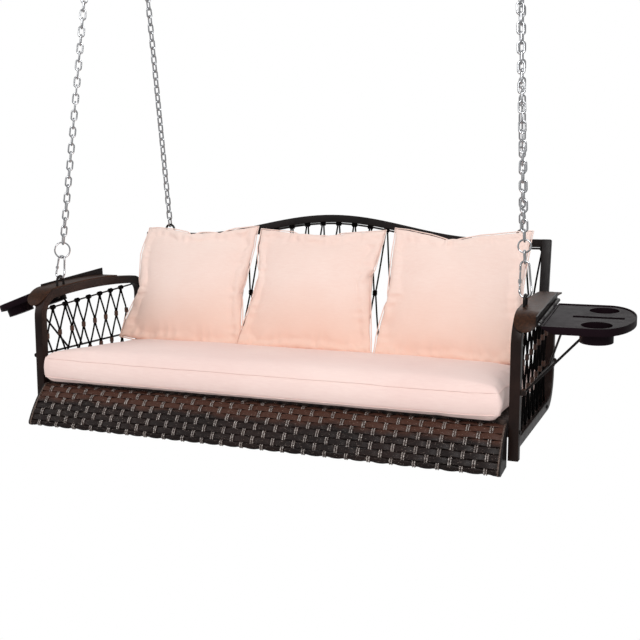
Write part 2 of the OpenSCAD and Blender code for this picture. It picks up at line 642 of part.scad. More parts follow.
// ---- cushions ----
cushion_half = side_in - 6;
cushion_draw = 5;
function cushion_plan(u, v) = [u * (cushion_half - cushion_draw * (1 - v * v)),
    v * (cushion_d / 2 - cushion_draw * (1 - u * u))];
// how much of its height the edge keeps where its corners are rounded
function cushion_edge(u, v) = 1 - 0.3 * pow(max(abs(u), abs(v)), 12);
function cushion_rise(u, v) = cushion_crown * (1 - pow(u, 6)) * (1 - pow(v, 4));
function cushion_top(u, v) = let (p = cushion_plan(u, v))
    [p[0], p[1], cushion_t / 2 * cushion_edge(u, v) + cushion_rise(u, v)];
function cushion_base(u, v) = let (p = cushion_plan(u, v)) [p[0], p[1], -cushion_t / 2 * cushion_edge(u, v)];
// a box cushion: crowned top, sides drawn in between its corners
module seat_cushion() color([0.95, 0.82, 0.78]) in_place() seat_place()
    translate([0, cushion_d / 2 - cushion_over, tube / 2 + deck_t + 2 * touch + cushion_t / 2])
        sheet_solid(28, 14, function(u, v) cushion_top(u, v), function(u, v) cushion_base(u, v));
// a pillow: full in the middle, thin at its seam, with pointed corners
pillow_draw = 17;
pillow_seam = 1.5;
pillow_foot_gap = 122.5;                // a pillow's lower seam to the back posts' feet
pillow_foot_y = back_y - pillow_foot_gap;
pillow_middle_x = -side_in + pillow_edge_left + 1.5 * pillow_w + pillow_gap_left;
pillow_foot_z = seat_z + tube / 2 + deck_t + 2 * touch + cushion_t + cushion_crown
    - pillow_foot_y * tan(seat_slope) + touch;
function pillow_side(u, size) = size / 2 - pillow_draw * (1 - u * u);
function pillow_half(u, v) = pillow_seam + (pillow_t / 2 - pillow_seam) * pow((1 - u * u) * (1 - v * v), 0.42);
// the lower seam stays almost straight, where the pillow stands on the cushion
function pillow_rise(u, v) = v * (pillow_h / 2 - pillow_draw * (0.6 + 0.4 * v) * (1 - u * u));
function pillow_face(u, v, k) = [u * pillow_side(v, pillow_w), pillow_rise(u, v), k * pillow_half(u, v)];
module pillow(x) color([0.98, 0.86, 0.8]) in_place()
    translate([x, pillow_foot_y, pillow_foot_z]) rotate([90 - pillow_lean, 0, 0]) translate([0, pillow_h / 2, 0])
        sheet_solid(16, 16, function(u, v) pillow_face(u, v, 1), function(u, v) pillow_face(u, v, -1));

// ---- arm boards ----
board_arc_r = arm_bend + touch;
function board_line(off) = concat(arc([arm_bend, bend_z], board_arc_r + off, 158, 97, 12),
    [for (i = [1:12]) let (y = arm_bend + board_d * i / 12 - 20) [y, rail_top(y) + touch + off]]);
tongue_r = board_w / 2;
tongue_z = bend_z + 34 + tongue_r;
module arm_board(s) color([0.27, 0.16, 0.1]) in_place() on_side(s) difference() {
    intersection() {
        along_x(board_x, board_w) polygon(concat(board_line(board_t),
            [for (i = [len(board_line(0)) - 1:-1:0]) board_line(0)[i]]));
        union() {
            translate([board_x - 1, -board_w, tongue_z]) cube([board_w + 2, beyond, beyond]);
            translate([board_x + tongue_r, -board_w, tongue_z])
                rotate([-90, 0, 0]) cylinder(r = tongue_r, h = beyond);
        }
    }
    translate(arm_eye) rotate([0, 0, 90]) eye_holes(eye_cut);
}

// ---- trays ----
tray_side = tray_reach - tray_edge - tray_gap - barrel_r;
// the tray's outline at a distance in from its edge; the hinge side lies at x = 0
module tray_outline(inset) polygon(concat(
    [[inset, tray_w - inset], [inset, inset]],
    [for (i = [0:20]) let (a = -90 + 9 * i)
        [tray_side + (tray_edge - inset) * cos(a), tray_w / 2 + (tray_w / 2 - inset) * sin(a)]]));
tray_x = barrel_r + tray_gap;
knuckle_ys = [50, tray_w - 60];         // starts of the tray's two knuckles
module knuckle(y, len, bore) rotate([-90, 0, 0]) translate([0, 0, y]) difference() {
    cylinder(r = barrel_r, h = len);
    translate([0, 0, -1]) cylinder(r = bore, h = len + 2);
}
cup_out = cup_r + wall;
function cup_places() = [for (k = [0, 1]) [cup_x, cup_y + k * cup_gap]];
slot_x = 60;
slot_l = 118;
slot_w = 20;
slot_depth = 10;
// drawn with the tray's top rim at z = 0 of the hinge frame and its hinge axis at the origin
module tray(s) color([0.17, 0.1, 0.09]) in_place() on_side(s)
    hinge_place(s) rotate([0, droop(s), 0]) difference() {
    union() {
        difference() {
            translate([tray_x, 0, -tray_rim]) linear_extrude(tray_rim) tray_outline(0);
            translate([tray_x, 0, -lip]) linear_extrude(lip + 1) tray_outline(wall);
            translate([tray_x, 0, -tray_rim - 1]) linear_extrude(tray_rim - lip - floor_t + 1) tray_outline(wall);
        }
        for (c = cup_places()) translate([c[0], c[1], -lip - cup_depth - wall])
            cylinder(r = cup_out, h = cup_depth + wall);
        translate([slot_x - wall, tray_w / 2 - slot_w / 2 - wall, -lip - slot_depth - 2])
            cube([slot_l + 2 * wall, slot_w + 2 * wall, slot_depth + 2]);
        for (y = knuckle_ys) {
            knuckle(y, knuckle, hinge_pin_r);
            translate([0, y, -barrel_r]) cube([tray_x + wall, knuckle, barrel_r - 0.5]);
        }
    }
    for (c = cup_places()) {
        translate([c[0], c[1], -lip - cup_depth]) cylinder(r = cup_r, h = cup_depth + lip + 1);
        translate([c[0], c[1], -lip - cup_depth - wall - 1]) cylinder(r = drain_r, h = wall + 2);
    }
    translate([slot_x, tray_w / 2 - slot_w / 2, -lip - slot_depth]) cube([slot_l, slot_w, slot_depth + lip + 1]);
    rotate([-90, 0, 0]) translate([0, 0, 20]) cylinder(r = hinge_pin_r + 1.5 * running, h = tray_w);
    // the rim is cut away by the hinge, so that the tray folds clear of the arm board
    rotate([90, 0, 0]) translate([0, 0, -tray_w - 1]) linear_extrude(tray_w + 2)
        polygon([[tray_x - 1, -lip - floor_t - 0.1], [tray_x + wall, -lip - floor_t - 0.1],
            [tray_x + 32, -tray_rim - 1], [tray_x - 1, -tray_rim - 1]]);
}

rail_ys = [[20, 30 - touch],
    [50 + knuckle + touch, tray_w - 60 - 50 - knuckle - 2 * touch], [tray_w - 60 + knuckle + touch, 60]];
module hinge_rail(s) color([0.08, 0.07, 0.07]) in_place() on_side(s) {
    hinge_place(s) difference() {
        union() {
            for (r = rail_ys) knuckle(r[0], r[1], hinge_pin_r);
            translate([-barrel_r - 3, 20, -barrel_r]) cube([3, tray_w + 40, 22]);
            for (r = rail_ys) translate([-barrel_r - 1, r[0], -barrel_r]) cube([barrel_r + 1, r[1], barrel_r]);
        }
        rotate([-90, 0, 0]) translate([0, 0, 10]) cylinder(r = hinge_pin_r + running, h = tray_w + 80);
    }
    // brackets that carry the rail on the arm tube
    for (y = [60, 200]) translate([side_in + tube + touch, y, hinge_z - 4 + (y - hinge_y) * tan(tray_slope)])
        cube([hinge_x - barrel_r - 3 - side_in - tube - touch - 0.2, 20, 3]);
}
module hinge_pins() color([0.6, 0.6, 0.6]) in_place() for (s = [-1, 1]) on_side(s) hinge_place(s)
    rotate([-90, 0, 0]) translate([0, 0, 21]) cylinder(r = hinge_pin_r, h = tray_w - 60 + knuckle + 60 - 22);

// ---- tray stays: one bent wire that turns in two clips on the side frame ----
stay_top = -lip - floor_t - stay_d / 2 - touch - 0.5;
// ends of the legs, in the tray's frame; the left stay has both between the cups
function front_tip(s) = [118, s > 0 ? 101 : 106, stay_top];
function rear_tip(s) = s > 0 ? [58, 265, stay_top] : [58, 166, stay_top];
module stay(s) color([0.06, 0.06, 0.06]) in_place() on_side(s) {
    tip_b = tray_point(s, rear_tip(s));
    foot_a = [stay_x, s > 0 ? stay_front : stay_front_left, stay_z];
    foot_b = [stay_x, s > 0 ? stay_rear : tip_b[1] - 3, stay_z];
    knee_b = [stay_x + 0.65 * (tip_b[0] - stay_x), tip_b[1] + 3, stay_z + 0.79 * (tip_b[2] - stay_z)];
    bar([stay_x, 6, stay_z], [stay_x, stay_end, stay_z], stay_d);
    bar(foot_a, tray_point(s, front_tip(s)), stay_d);
    bar(foot_b, knee_b, stay_d);
    bar(knee_b, tip_b, stay_d);
    for (p = [foot_a, foot_b, knee_b]) translate(p) sphere(d = stay_d + weld);
    translate([stay_x, stay_end, stay_z]) sphere(r = 6);
}
clip_inset = [12, 60];                  // front and rear stay clips, from the side frame's ends
clip_ys = [clip_inset[0], side_d - clip_inset[1]];
module stay_clips() color([0.06, 0.06, 0.06]) in_place() both() {
    for (y = clip_ys) difference() {
        union() {
            translate([stay_x, y - 3, stay_z]) rotate([-90, 0, 0]) cylinder(r = stay_d / 2 + 3, h = 6);
            translate([side_in + tube + touch, y - 3, stay_z - 6]) cube([stay_x - side_in - tube - touch, 6, 12]);
        }
        translate([stay_x, y - 5, stay_z]) rotate([-90, 0, 0]) cylinder(r = stay_d / 2 + running, h = 10);
    }
}

ceiling_bracket(-1);  // ceiling_bracket_left
ceiling_bracket(1);  // ceiling_bracket_right
pivot_bolts();
hanger_bar(-1);  // hanger_bar_left
hanger_bar(1);  // hanger_bar_right
hanger_eyes();
front_chain(-1, left_start, left_turn);  // chain_front_left
front_chain(1, right_start, right_turn);  // chain_front_right
rear_chain(-1);  // chain_rear_left
rear_chain(1);  // chain_rear_right
ring_left();
ring_right();
joining_link();
carabiner(-1, hook_left);  // carabiner_left
carabiner(1, hook_right);  // carabiner_right
gate(-1, hook_left);  // gate_left
gate(1, hook_right);  // gate_right
arm_eyes();
back_eyes();
eye_nuts();
side_frame(-1);  // side_frame_left
side_frame(1);  // side_frame_right
foot_caps();
side_rods();
side_cords(-1);  // side_cords_left
side_cords(1);  // side_cords_right
side_bands(-1);  // side_bands_left
side_bands(1);  // side_bands_right
back_frame();
back_rod();
back_cords();
back_bands();
seat_frame();
seat_deck();
front_roll();
roll_ends();
roll_frame();
frame_bolts();
seat_cushion();
pillow(pillow_middle_x - pillow_w - pillow_gap_left);  // pillow_left
pillow(pillow_middle_x);  // pillow_middle
pillow(pillow_middle_x + pillow_w + pillow_gap_right);  // pillow_right
arm_board(-1);  // arm_board_left
arm_board(1);  // arm_board_right
hinge_rail(-1);  // hinge_rail_left
hinge_rail(1);  // hinge_rail_right
hinge_pins();
tray(-1);  // tray_left
tray(1);  // tray_right
stay(-1);  // stay_left
stay(1);  // stay_right
stay_clips();
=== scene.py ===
"""Hanging porch swing seat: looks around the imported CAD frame. Metres, front faces -Y, Z up."""
import math
import bpy
import bmesh
from mathutils import Vector, Matrix, noise


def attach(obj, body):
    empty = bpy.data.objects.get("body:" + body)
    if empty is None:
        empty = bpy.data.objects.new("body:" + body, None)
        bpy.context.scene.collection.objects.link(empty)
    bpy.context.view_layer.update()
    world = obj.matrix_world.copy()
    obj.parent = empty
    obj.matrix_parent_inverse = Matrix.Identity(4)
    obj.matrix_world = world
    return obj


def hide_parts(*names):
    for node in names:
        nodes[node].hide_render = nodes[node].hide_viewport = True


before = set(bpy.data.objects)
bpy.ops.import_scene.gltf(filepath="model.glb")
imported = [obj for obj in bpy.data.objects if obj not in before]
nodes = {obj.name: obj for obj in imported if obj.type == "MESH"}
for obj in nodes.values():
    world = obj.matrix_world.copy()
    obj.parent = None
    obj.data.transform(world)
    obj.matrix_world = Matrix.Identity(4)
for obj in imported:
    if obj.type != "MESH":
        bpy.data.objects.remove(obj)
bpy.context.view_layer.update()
scene = bpy.context.scene
MM = 0.001

# ---- sizes shared with the CAD, in seat millimetres ----
HANG_Y, CEILING_Z = 318.0, 1393.0
TUBE, SIDE_IN = 25.0, 675.0
ROD_D, CORD_D, BAND_H = 5.0, 5.4, 18.0
ARM_EYE_X = SIDE_IN + TUBE / 2


def seat(x, y, z):
    """A point of the seat's millimetres, in the row frame."""
    return Vector((x, y - HANG_Y, z - CEILING_Z)) * MM


# ---- materials ----
BRAID_SCALE, YARN_SCALE, BASKET_SCALE = 420, 620, 11     # waves in cords, cloth and the deck


class Nodes:
    """A small helper that wires one node-based material."""

    def __init__(self, name):
        self.mat = bpy.data.materials.new(name)
        self.mat.use_nodes = True
        self.tree = self.mat.node_tree
        self.tree.nodes.clear()
        self.out = self.tree.nodes.new("ShaderNodeOutputMaterial")
        self.bsdf = self.tree.nodes.new("ShaderNodeBsdfPrincipled")
        self.link(self.bsdf.outputs[0], self.out.inputs["Surface"])
        self.coord = self.tree.nodes.new("ShaderNodeTexCoord").outputs["Object"]

    def link(self, a, b):
        self.tree.links.new(a, b)

    def put(self, node, key, value):
        if hasattr(value, "is_linked"):
            self.link(value, node.inputs[key])
        elif value is not None:
            node.inputs[key].default_value = value

    def scaled(self, vector, factors):
        n = self.tree.nodes.new("ShaderNodeMapping")
        self.link(vector, n.inputs["Vector"])
        n.inputs["Scale"].default_value = factors
        return n.outputs[0]

    def noise(self, scale, detail=3.0, rough=0.5, vector=None):
        n = self.tree.nodes.new("ShaderNodeTexNoise")
        self.link(vector or self.coord, n.inputs["Vector"])
        n.inputs["Scale"].default_value = scale
        n.inputs["Detail"].default_value = detail
        n.inputs["Roughness"].default_value = rough
        return n.outputs["Fac"]

    def wave(self, scale, axis, distortion=0.0, detail_scale=1.0):
        n = self.tree.nodes.new("ShaderNodeTexWave")
        n.wave_type, n.bands_direction, n.wave_profile = "BANDS", axis, "SIN"
        self.link(self.coord, n.inputs["Vector"])
        n.inputs["Scale"].default_value = scale
        n.inputs["Distortion"].default_value = distortion
        n.inputs["Detail Scale"].default_value = detail_scale
        return n.outputs["Fac"]

    def ramp(self, fac, stops):
        n = self.tree.nodes.new("ShaderNodeValToRGB")
        while len(n.color_ramp.elements) < len(stops):
            n.color_ramp.elements.new(0.5)
        for e, (at, colour) in zip(n.color_ramp.elements, stops):
            e.position = at
            e.color = (*colour, 1) if hasattr(colour, "__len__") else (colour,) * 3 + (1,)
        self.link(fac, n.inputs[0])
        return n.outputs["Color"]

    def math(self, op, a, b=None):
        n = self.tree.nodes.new("ShaderNodeMath")
        n.operation = op
        self.put(n, 0, a)
        self.put(n, 1, b)
        return n.outputs[0]

    def height(self, low, high):
        """0 at the height low and 1 at the height high."""
        split = self.tree.nodes.new("ShaderNodeSeparateXYZ")
        self.link(self.coord, split.inputs[0])
        return self.math("DIVIDE", self.math("SUBTRACT", split.outputs[2], low), high - low)

    def mix(self, fac, a, b):
        n = self.tree.nodes.new("ShaderNodeMix")
        n.data_type, n.blend_type = "RGBA", "MIX"
        self.put(n, 0, fac)
        for index, value in ((6, a), (7, b)):
            if hasattr(value, "is_linked"):
                self.link(value, n.inputs[index])
            else:
                n.inputs[index].default_value = (*value, 1)
        return n.outputs[2]

    def bump(self, height, strength, distance, normal=None):
        n = self.tree.nodes.new("ShaderNodeBump")
        n.inputs["Strength"].default_value = strength
        n.inputs["Distance"].default_value = distance
        self.link(height, n.inputs["Height"])
        if normal is not None:
            self.link(normal, n.inputs["Normal"])
        return n.outputs[0]

    def done(self, colour, rough, metal=0.0, normal=None, **more):
        b = self.bsdf
        if hasattr(colour, "is_linked"):
            self.link(colour, b.inputs["Base Color"])
        else:
            b.inputs["Base Color"].default_value = (*colour, 1)
        self.put(b, "Roughness", rough)
        b.inputs["Metallic"].default_value = metal
        if normal is not None:
            self.link(normal, b.inputs["Normal"])
        for key, value in more.items():
            b.inputs[key.replace("_", " ")].default_value = value
        return self.mat


def powder_coat(name, dark, light, rough=0.38):
    """Satin powder coat: faint orange peel and soft cloudy variation."""
    n = Nodes(name)
    cloud = n.noise(14, 4, 0.6)
    colour = n.ramp(cloud, [(0.3, dark), (0.75, light)])
    gloss = n.ramp(n.noise(60, 3), [(0.3, rough - 0.06), (0.8, rough + 0.1)])
    return n.done(colour, gloss, normal=n.bump(n.noise(900, 2), 0.12, 0.0004), Specular_IOR_Level=0.2)


def bright_wire(name, tone, low=0.12, high=0.32):
    """Plated steel wire: bright, with dull patches and fine draw lines."""
    n = Nodes(name)
    patches = n.noise(55, 4, 0.6)
    colour = n.ramp(patches, [(0.25, [c * 0.72 for c in tone]), (0.7, tone)])
    rough = n.ramp(patches, [(0.2, high), (0.75, low)])
    return n.done(colour, rough, 1.0, n.bump(n.noise(420, 2), 0.12, 0.0003))


def cord_material(name, dark, light):
    """Round braided cord: small crossing strands."""
    n = Nodes(name)
    one_way, other_way = (n.wave(BRAID_SCALE, axis, 1.5) for axis in ("DIAGONAL", "Z"))
    braid = n.math("MULTIPLY", one_way, other_way)
    colour = n.ramp(n.math("ADD", braid, n.math("MULTIPLY", n.noise(60), 0.4)), [(0.2, dark), (1.0, light)])
    return n.done(colour, 0.8, normal=n.bump(braid, 0.55, 0.0006), Specular_IOR_Level=0.05)


def strip_material(name, shades, grain_axis=(4, 120, 120), speck=(0.27, 0.2, 0.16), speck_share=0.64,
                   scale=1.0, top_tint=None, gloss=0.3):
    """Flat plastic rattan: grooves along the strip and pale specks; the optional tint and two heights make
    the strip a lighter, warmer brown towards the top.
    """
    n = Nodes(name)
    along = n.scaled(n.coord, grain_axis)
    grain = n.noise(9 * scale, 5, 0.65, along)
    cloud = n.noise(9, 3)
    base = n.ramp(n.math("ADD", n.math("MULTIPLY", grain, 0.62), n.math("MULTIPLY", cloud, 0.38)),
                  [(0.3, shades[0]), (0.52, shades[1]), (0.72, shades[2])])
    specks = n.ramp(n.noise(7 * scale, 2, 0.5, n.scaled(n.coord, (22, 150, 150))),
                    [(speck_share, 0.0), (speck_share + 0.06, 1.0)])
    # a lighter, warmer brown laid on above the lower height, full near the upper one, with a mottled edge
    if top_tint:
        tint, low, high = top_tint
        share = n.math("ADD", n.height(low, high), n.math("MULTIPLY", n.noise(11, 3), 0.7))
        base = n.mix(n.ramp(share, [(0.75, 0.0), (1.15, 0.85)]), base, tint)
    colour = n.mix(specks, base, speck)
    return n.done(colour, n.ramp(grain, [(0.2, 0.34), (0.8, 0.56)]),
                  normal=n.bump(grain, 0.45, 0.0007), Specular_IOR_Level=gloss)


def fabric_material(name, tone, shade, painted_bounce_tint=None, painted_bounce_z=(0, 1)):
    """Plain woven outdoor cloth: yarns, slubs and a soft sheen, with painted warm bounce light towards the
    lower height.
    """
    n = Nodes(name)
    warp, weft, third = (n.wave(YARN_SCALE, axis, 0.6, 3) for axis in "XZY")
    yarn = n.math("ADD", n.math("ADD", warp, weft), third)
    slub = n.noise(38, 4, 0.6, n.scaled(n.coord, (1, 6, 6)))
    soft = n.noise(3.2, 3, 0.55)
    mottled = n.math("ADD", n.math("MULTIPLY", slub, 0.35), n.math("MULTIPLY", soft, 0.65))
    colour = n.ramp(mottled, [(0.3, shade), (0.62, tone)])
    # painted bounce light: a warm orange tint laid over the lower part of the cloth
    if painted_bounce_tint:
        height = n.height(*painted_bounce_z)
        share = n.ramp(n.math("ADD", height, n.math("MULTIPLY", soft, 0.3)), [(0.15, 0.75), (0.75, 0.0)])
        colour = n.mix(share, colour, painted_bounce_tint)
    crease = n.noise(16, 5, 0.55)
    normal = n.bump(crease, 0.16, 0.006)
    normal = n.bump(yarn, 0.22, 0.0005, normal)
    return n.done(colour, 0.86, normal=normal, Sheen_Weight=0.18, Sheen_Roughness=0.5,
                  Specular_IOR_Level=0.25)


def board_material(name, dark, light):
    """Dark moulded board with a fine embossed grain."""
    n = Nodes(name)
    along = n.scaled(n.coord, (60, 7, 60))
    grain = n.noise(3.4, 5, 0.6, along)
    colour = n.ramp(grain, [(0.3, dark), (0.7, light)])
    return n.done(colour, n.ramp(grain, [(0.2, 0.3), (0.8, 0.48)]),
                  normal=n.bump(grain, 0.25, 0.0006), Specular_IOR_Level=0.18)


def moulded_material(name, dark, light, rough=0.36):
    """Moulded plastic: fine spark-eroded texture with slight flow marks."""
    n = Nodes(name)
    flow = n.noise(7, 3, 0.5)
    colour = n.ramp(flow, [(0.3, dark), (0.75, light)])
    return n.done(colour, n.ramp(n.noise(40, 4), [(0.2, rough - 0.05), (0.8, rough + 0.12)]),
                  normal=n.bump(n.noise(1300, 2), 0.16, 0.0003), Specular_IOR_Level=0.05)


def basket_material(name, dark, light):
    """A basket weave for the deck under the cushion."""
    n = Nodes(name)
    rows, columns = (n.wave(BASKET_SCALE, axis) for axis in "XY")
    weave = n.math("ABSOLUTE", n.math("SUBTRACT", rows, columns))
    grain = n.noise(160, 3)
    colour = n.ramp(n.math("ADD", n.math("MULTIPLY", weave, 0.7), n.math("MULTIPLY", grain, 0.3)),
                    [(0.15, dark), (0.85, light)])
    return n.done(colour, 0.55, normal=n.bump(weave, 0.7, 0.003))


M = {
    "hanger_black": powder_coat("hanger_black_coat", (0.022, 0.021, 0.021), (0.04, 0.038, 0.037)),
    "zinc": bright_wire("zinc_steel", (0.62, 0.63, 0.65), 0.25, 0.45),
    "chrome_chain": bright_wire("plated_wire", (0.66, 0.67, 0.69), 0.1, 0.3),
    "brown_frame": powder_coat("brown_coat", (0.009, 0.0048, 0.004), (0.024, 0.0115, 0.0088), 0.32),
    "black_metal": powder_coat("black_brown_coat", (0.006, 0.0045, 0.0045), (0.015, 0.011, 0.0105), 0.34),
    "cord": cord_material("braided_cord", (0.0015, 0.0013, 0.0013), (0.006, 0.005, 0.005)),
    "brown_band": strip_material("band_strip",
                                 [(0.03, 0.014, 0.009), (0.075, 0.034, 0.022), (0.13, 0.07, 0.048)],
                                 (40, 40, 260), (0.2, 0.13, 0.09), 0.68),
    "weave": basket_material("deck_weave", (0.018, 0.01, 0.008), (0.07, 0.042, 0.032)),
    # the roll's strips turn a lighter, warmer brown towards the top of the roll
    "strip": strip_material("rattan_strip",
                            [(0.0025, 0.0012, 0.001), (0.0095, 0.0042, 0.0033), (0.034, 0.0145, 0.0112)],
                            speck=(0.36, 0.29, 0.25), speck_share=0.67,
                            top_tint=((0.07, 0.026, 0.0155), -1.37, -1.315), gloss=0.24),
    "rib": strip_material("rattan_rib", [(0.012, 0.006, 0.0048), (0.062, 0.036, 0.028), (0.36, 0.29, 0.26)],
                          (160, 12, 12), (0.72, 0.66, 0.62), 0.54, gloss=0.6),
    "hem": strip_material("rattan_hem", [(0.03, 0.017, 0.013), (0.08, 0.05, 0.038), (0.16, 0.11, 0.09)],
                          (160, 12, 12), (0.36, 0.3, 0.26), 0.6),
    # the pillows' cloth: its last tone and two heights are painted warm bounce light on the lower part
    "fabric": fabric_material("peach_cloth", (0.965, 0.765, 0.69), (0.91, 0.675, 0.595),
                              (0.88, 0.555, 0.425), (-1.24, -0.86)),
    "seat_cloth": fabric_material("seat_cloth", (0.955, 0.745, 0.69), (0.89, 0.655, 0.605)),
    "board": board_material("board_brown", (0.014, 0.0058, 0.003), (0.058, 0.021, 0.0085)),
    "tray": moulded_material("tray_brown", (0.0062, 0.0028, 0.0044), (0.0125, 0.0056, 0.0086)),
    "dark_plastic": moulded_material("dark_moulding", (0.02, 0.014, 0.013), (0.035, 0.025, 0.022), 0.5),
}


# ---- CAD nodes that stay: materials, rounded edges and smooth round faces ----
WELD_GAP = 2e-6                         # points nearer than this are welded, in metres
SMOOTH_DEG, BEVEL_DEG, BEVEL_STEPS = 32, 50, 3


def smooth_group():
    """A modifier's node group that welds the mesh and shades it smooth up to SMOOTH_DEG."""
    g = bpy.data.node_groups.new("smooth_faces", "GeometryNodeTree")
    g.interface.new_socket("Geometry", in_out="INPUT", socket_type="NodeSocketGeometry")
    g.interface.new_socket("Geometry", in_out="OUTPUT", socket_type="NodeSocketGeometry")
    start, end = g.nodes.new("NodeGroupInput"), g.nodes.new("NodeGroupOutput")
    merge = g.nodes.new("GeometryNodeMergeByDistance")
    merge.inputs["Distance"].default_value = WELD_GAP
    faces, edges = g.nodes.new("GeometryNodeSetShadeSmooth"), g.nodes.new("GeometryNodeSetShadeSmooth")
    faces.domain, edges.domain = "FACE", "EDGE"
    faces.inputs["Shade Smooth"].default_value = True
    edges.inputs["Shade Smooth"].default_value = False
    angle = g.nodes.new("GeometryNodeInputMeshEdgeAngle")
    sharp = g.nodes.new("FunctionNodeCompare")
    sharp.data_type, sharp.operation = "FLOAT", "GREATER_THAN"
    sharp.inputs[1].default_value = math.radians(SMOOTH_DEG)
    g.links.new(angle.outputs["Unsigned Angle"], sharp.inputs[0])
    g.links.new(start.outputs[0], merge.inputs["Geometry"])
    g.links.new(merge.outputs[0], faces.inputs["Geometry"])
    g.links.new(faces.outputs[0], edges.inputs["Geometry"])
    g.links.new(sharp.outputs[0], edges.inputs["Selection"])
    g.links.new(edges.outputs[0], end.inputs[0])
    return g


SMOOTH = smooth_group()
SLOT_OF = {
    "hanger_black": ("ceiling_bracket_left", "ceiling_bracket_right", "hanger_bar_left", "hanger_bar_right",
                     "hanger_eyes"),
    "zinc": ("pivot_bolts", "hinge_pins"),
    "chrome_chain": ("chain_front_left", "chain_front_right", "chain_rear_left", "chain_rear_right",
                     "ring_left", "ring_right", "joining_link", "carabiner_left", "carabiner_right",
                     "gate_left", "gate_right"),
    "brown_frame": ("side_frame_left", "side_frame_right"),
    "black_metal": ("arm_eyes", "back_eyes", "eye_nuts", "side_rods", "back_frame", "back_rod", "seat_frame",
                    "roll_frame", "frame_bolts", "hinge_rail_left", "hinge_rail_right", "stay_left",
                    "stay_right", "roll_ends"),
    "weave": ("seat_deck",),
    "board": ("arm_board_left", "arm_board_right"),
    "tray": ("tray_left", "tray_right"),
    "dark_plastic": ("foot_caps", "stay_clips"),
}
BEVELS = {
    "side_frame_left": 2.6, "side_frame_right": 2.6, "back_frame": 2.2, "seat_frame": 2.0,
    "arm_board_left": 1.3, "arm_board_right": 1.3, "tray_left": 0.9, "tray_right": 0.9,
    "hanger_bar_left": 1.0, "hanger_bar_right": 1.0, "ceiling_bracket_left": 0.8,
    "ceiling_bracket_right": 0.8, "foot_caps": 1.0,
}


def finish_node(name, material):
    """Gives a CAD node its material, rounded edges where it has any, and smooth shading."""
    o = nodes[name]
    for s in o.material_slots:
        s.material = M[material]
    if not o.material_slots:
        o.data.materials.append(M[material])
    weld = o.modifiers.new("weld", "WELD")
    weld.merge_threshold = WELD_GAP
    if name in BEVELS:
        b = o.modifiers.new("edges", "BEVEL")
        b.width, b.segments, b.limit_method = BEVELS[name] * MM, BEVEL_STEPS, "ANGLE"
        b.angle_limit = math.radians(BEVEL_DEG)
        b.use_clamp_overlap = True
    s = o.modifiers.new("smooth", "NODES")
    s.node_group = SMOOTH


for slot_name, names in SLOT_OF.items():
    for node_name in names:
        if node_name in nodes:
            finish_node(node_name, slot_name)


# ---- mesh and curve makers ----
def new_mesh(name, verts, faces, material):
    """A smooth-shaded object with its faces turned outwards."""
    me = bpy.data.meshes.new(name)
    me.from_pydata([tuple(v) for v in verts], [], faces)
    me.validate()
    me.update()
    bm = bmesh.new()
    bm.from_mesh(me)
    bmesh.ops.recalc_face_normals(bm, faces=bm.faces)
    bm.to_mesh(me)
    bm.free()
    me.shade_smooth()
    o = bpy.data.objects.new(name, me)
    scene.collection.objects.link(o)
    me.materials.append(M[material])
    return o


def piece(o, body, slot_name, *replaced):
    """Ties an object to its body and hides the CAD nodes that it stands for; slot_name is not used."""
    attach(o, body)
    if replaced:
        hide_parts(*replaced)
    return o


def tube_faces(rings, sides, closed=False):
    """Faces between rings of points, with a cap at each end of an open tube."""
    faces = []
    for i in range(rings if closed else rings - 1):
        j = (i + 1) % rings
        for k in range(sides):
            m = (k + 1) % sides
            faces.append((i * sides + k, i * sides + m, j * sides + m, j * sides + k))
    if not closed:
        faces.append(tuple(range(sides))[::-1])
        faces.append(tuple((rings - 1) * sides + k for k in range(sides)))
    return faces


def sweep(path, radius, sides=8, closed=False):
    """Vertices and faces of a round tube along a path of points."""
    n = len(path)
    verts = []
    up = None
    for i, p in enumerate(path):
        a = path[(i - 1) % n] if closed or i else path[0]
        b = path[(i + 1) % n] if closed or i < n - 1 else path[-1]
        t = (b - a).normalized()
        if up is None:
            up = Vector((0, 0, 1)) if abs(t.z) < 0.9 else Vector((1, 0, 0))
        side = t.cross(up).normalized()
        up = side.cross(t).normalized()
        for k in range(sides):
            turn = 2 * math.pi * k / sides
            verts.append(p + side * (math.cos(turn) * radius) + up * (math.sin(turn) * radius))
    return verts, tube_faces(n, sides, closed)


class Pile:
    """Collects many small parts into one mesh."""

    def __init__(self):
        self.verts, self.faces = [], []

    def add(self, made):
        base = len(self.verts)
        self.verts += made[0]
        self.faces += [tuple(base + i for i in f) for f in made[1]]

    def object(self, name, material):
        return new_mesh(name, self.verts, self.faces, material)


def spline(points, steps):
    """A smooth path through the points."""
    out = []
    n = len(points)
    for i in range(n - 1):
        p0, p1, p2, p3 = points[max(i - 1, 0)], points[i], points[i + 1], points[min(i + 2, n - 1)]
        for k in range(steps):
            t = k / steps
            out.append(0.5 * ((2 * p1) + (p2 - p0) * t + (2 * p0 - 5 * p1 + 4 * p2 - p3) * t * t
                              + (3 * p1 - p0 - 3 * p2 + p3) * t ** 3))
    out.append(points[-1])
    return out


BAND_TURNS, BAND_STEPS, BAND_SIDES = 5, 6, 16     # turns of the strip, rings in each, points round it
BAND_OVER, BAND_PAD = 1.6, 2.0          # the band past the cords' sides and past their faces
BAND_RIB, BAND_END, BAND_SLANT = 0.75, 0.25, 0.5


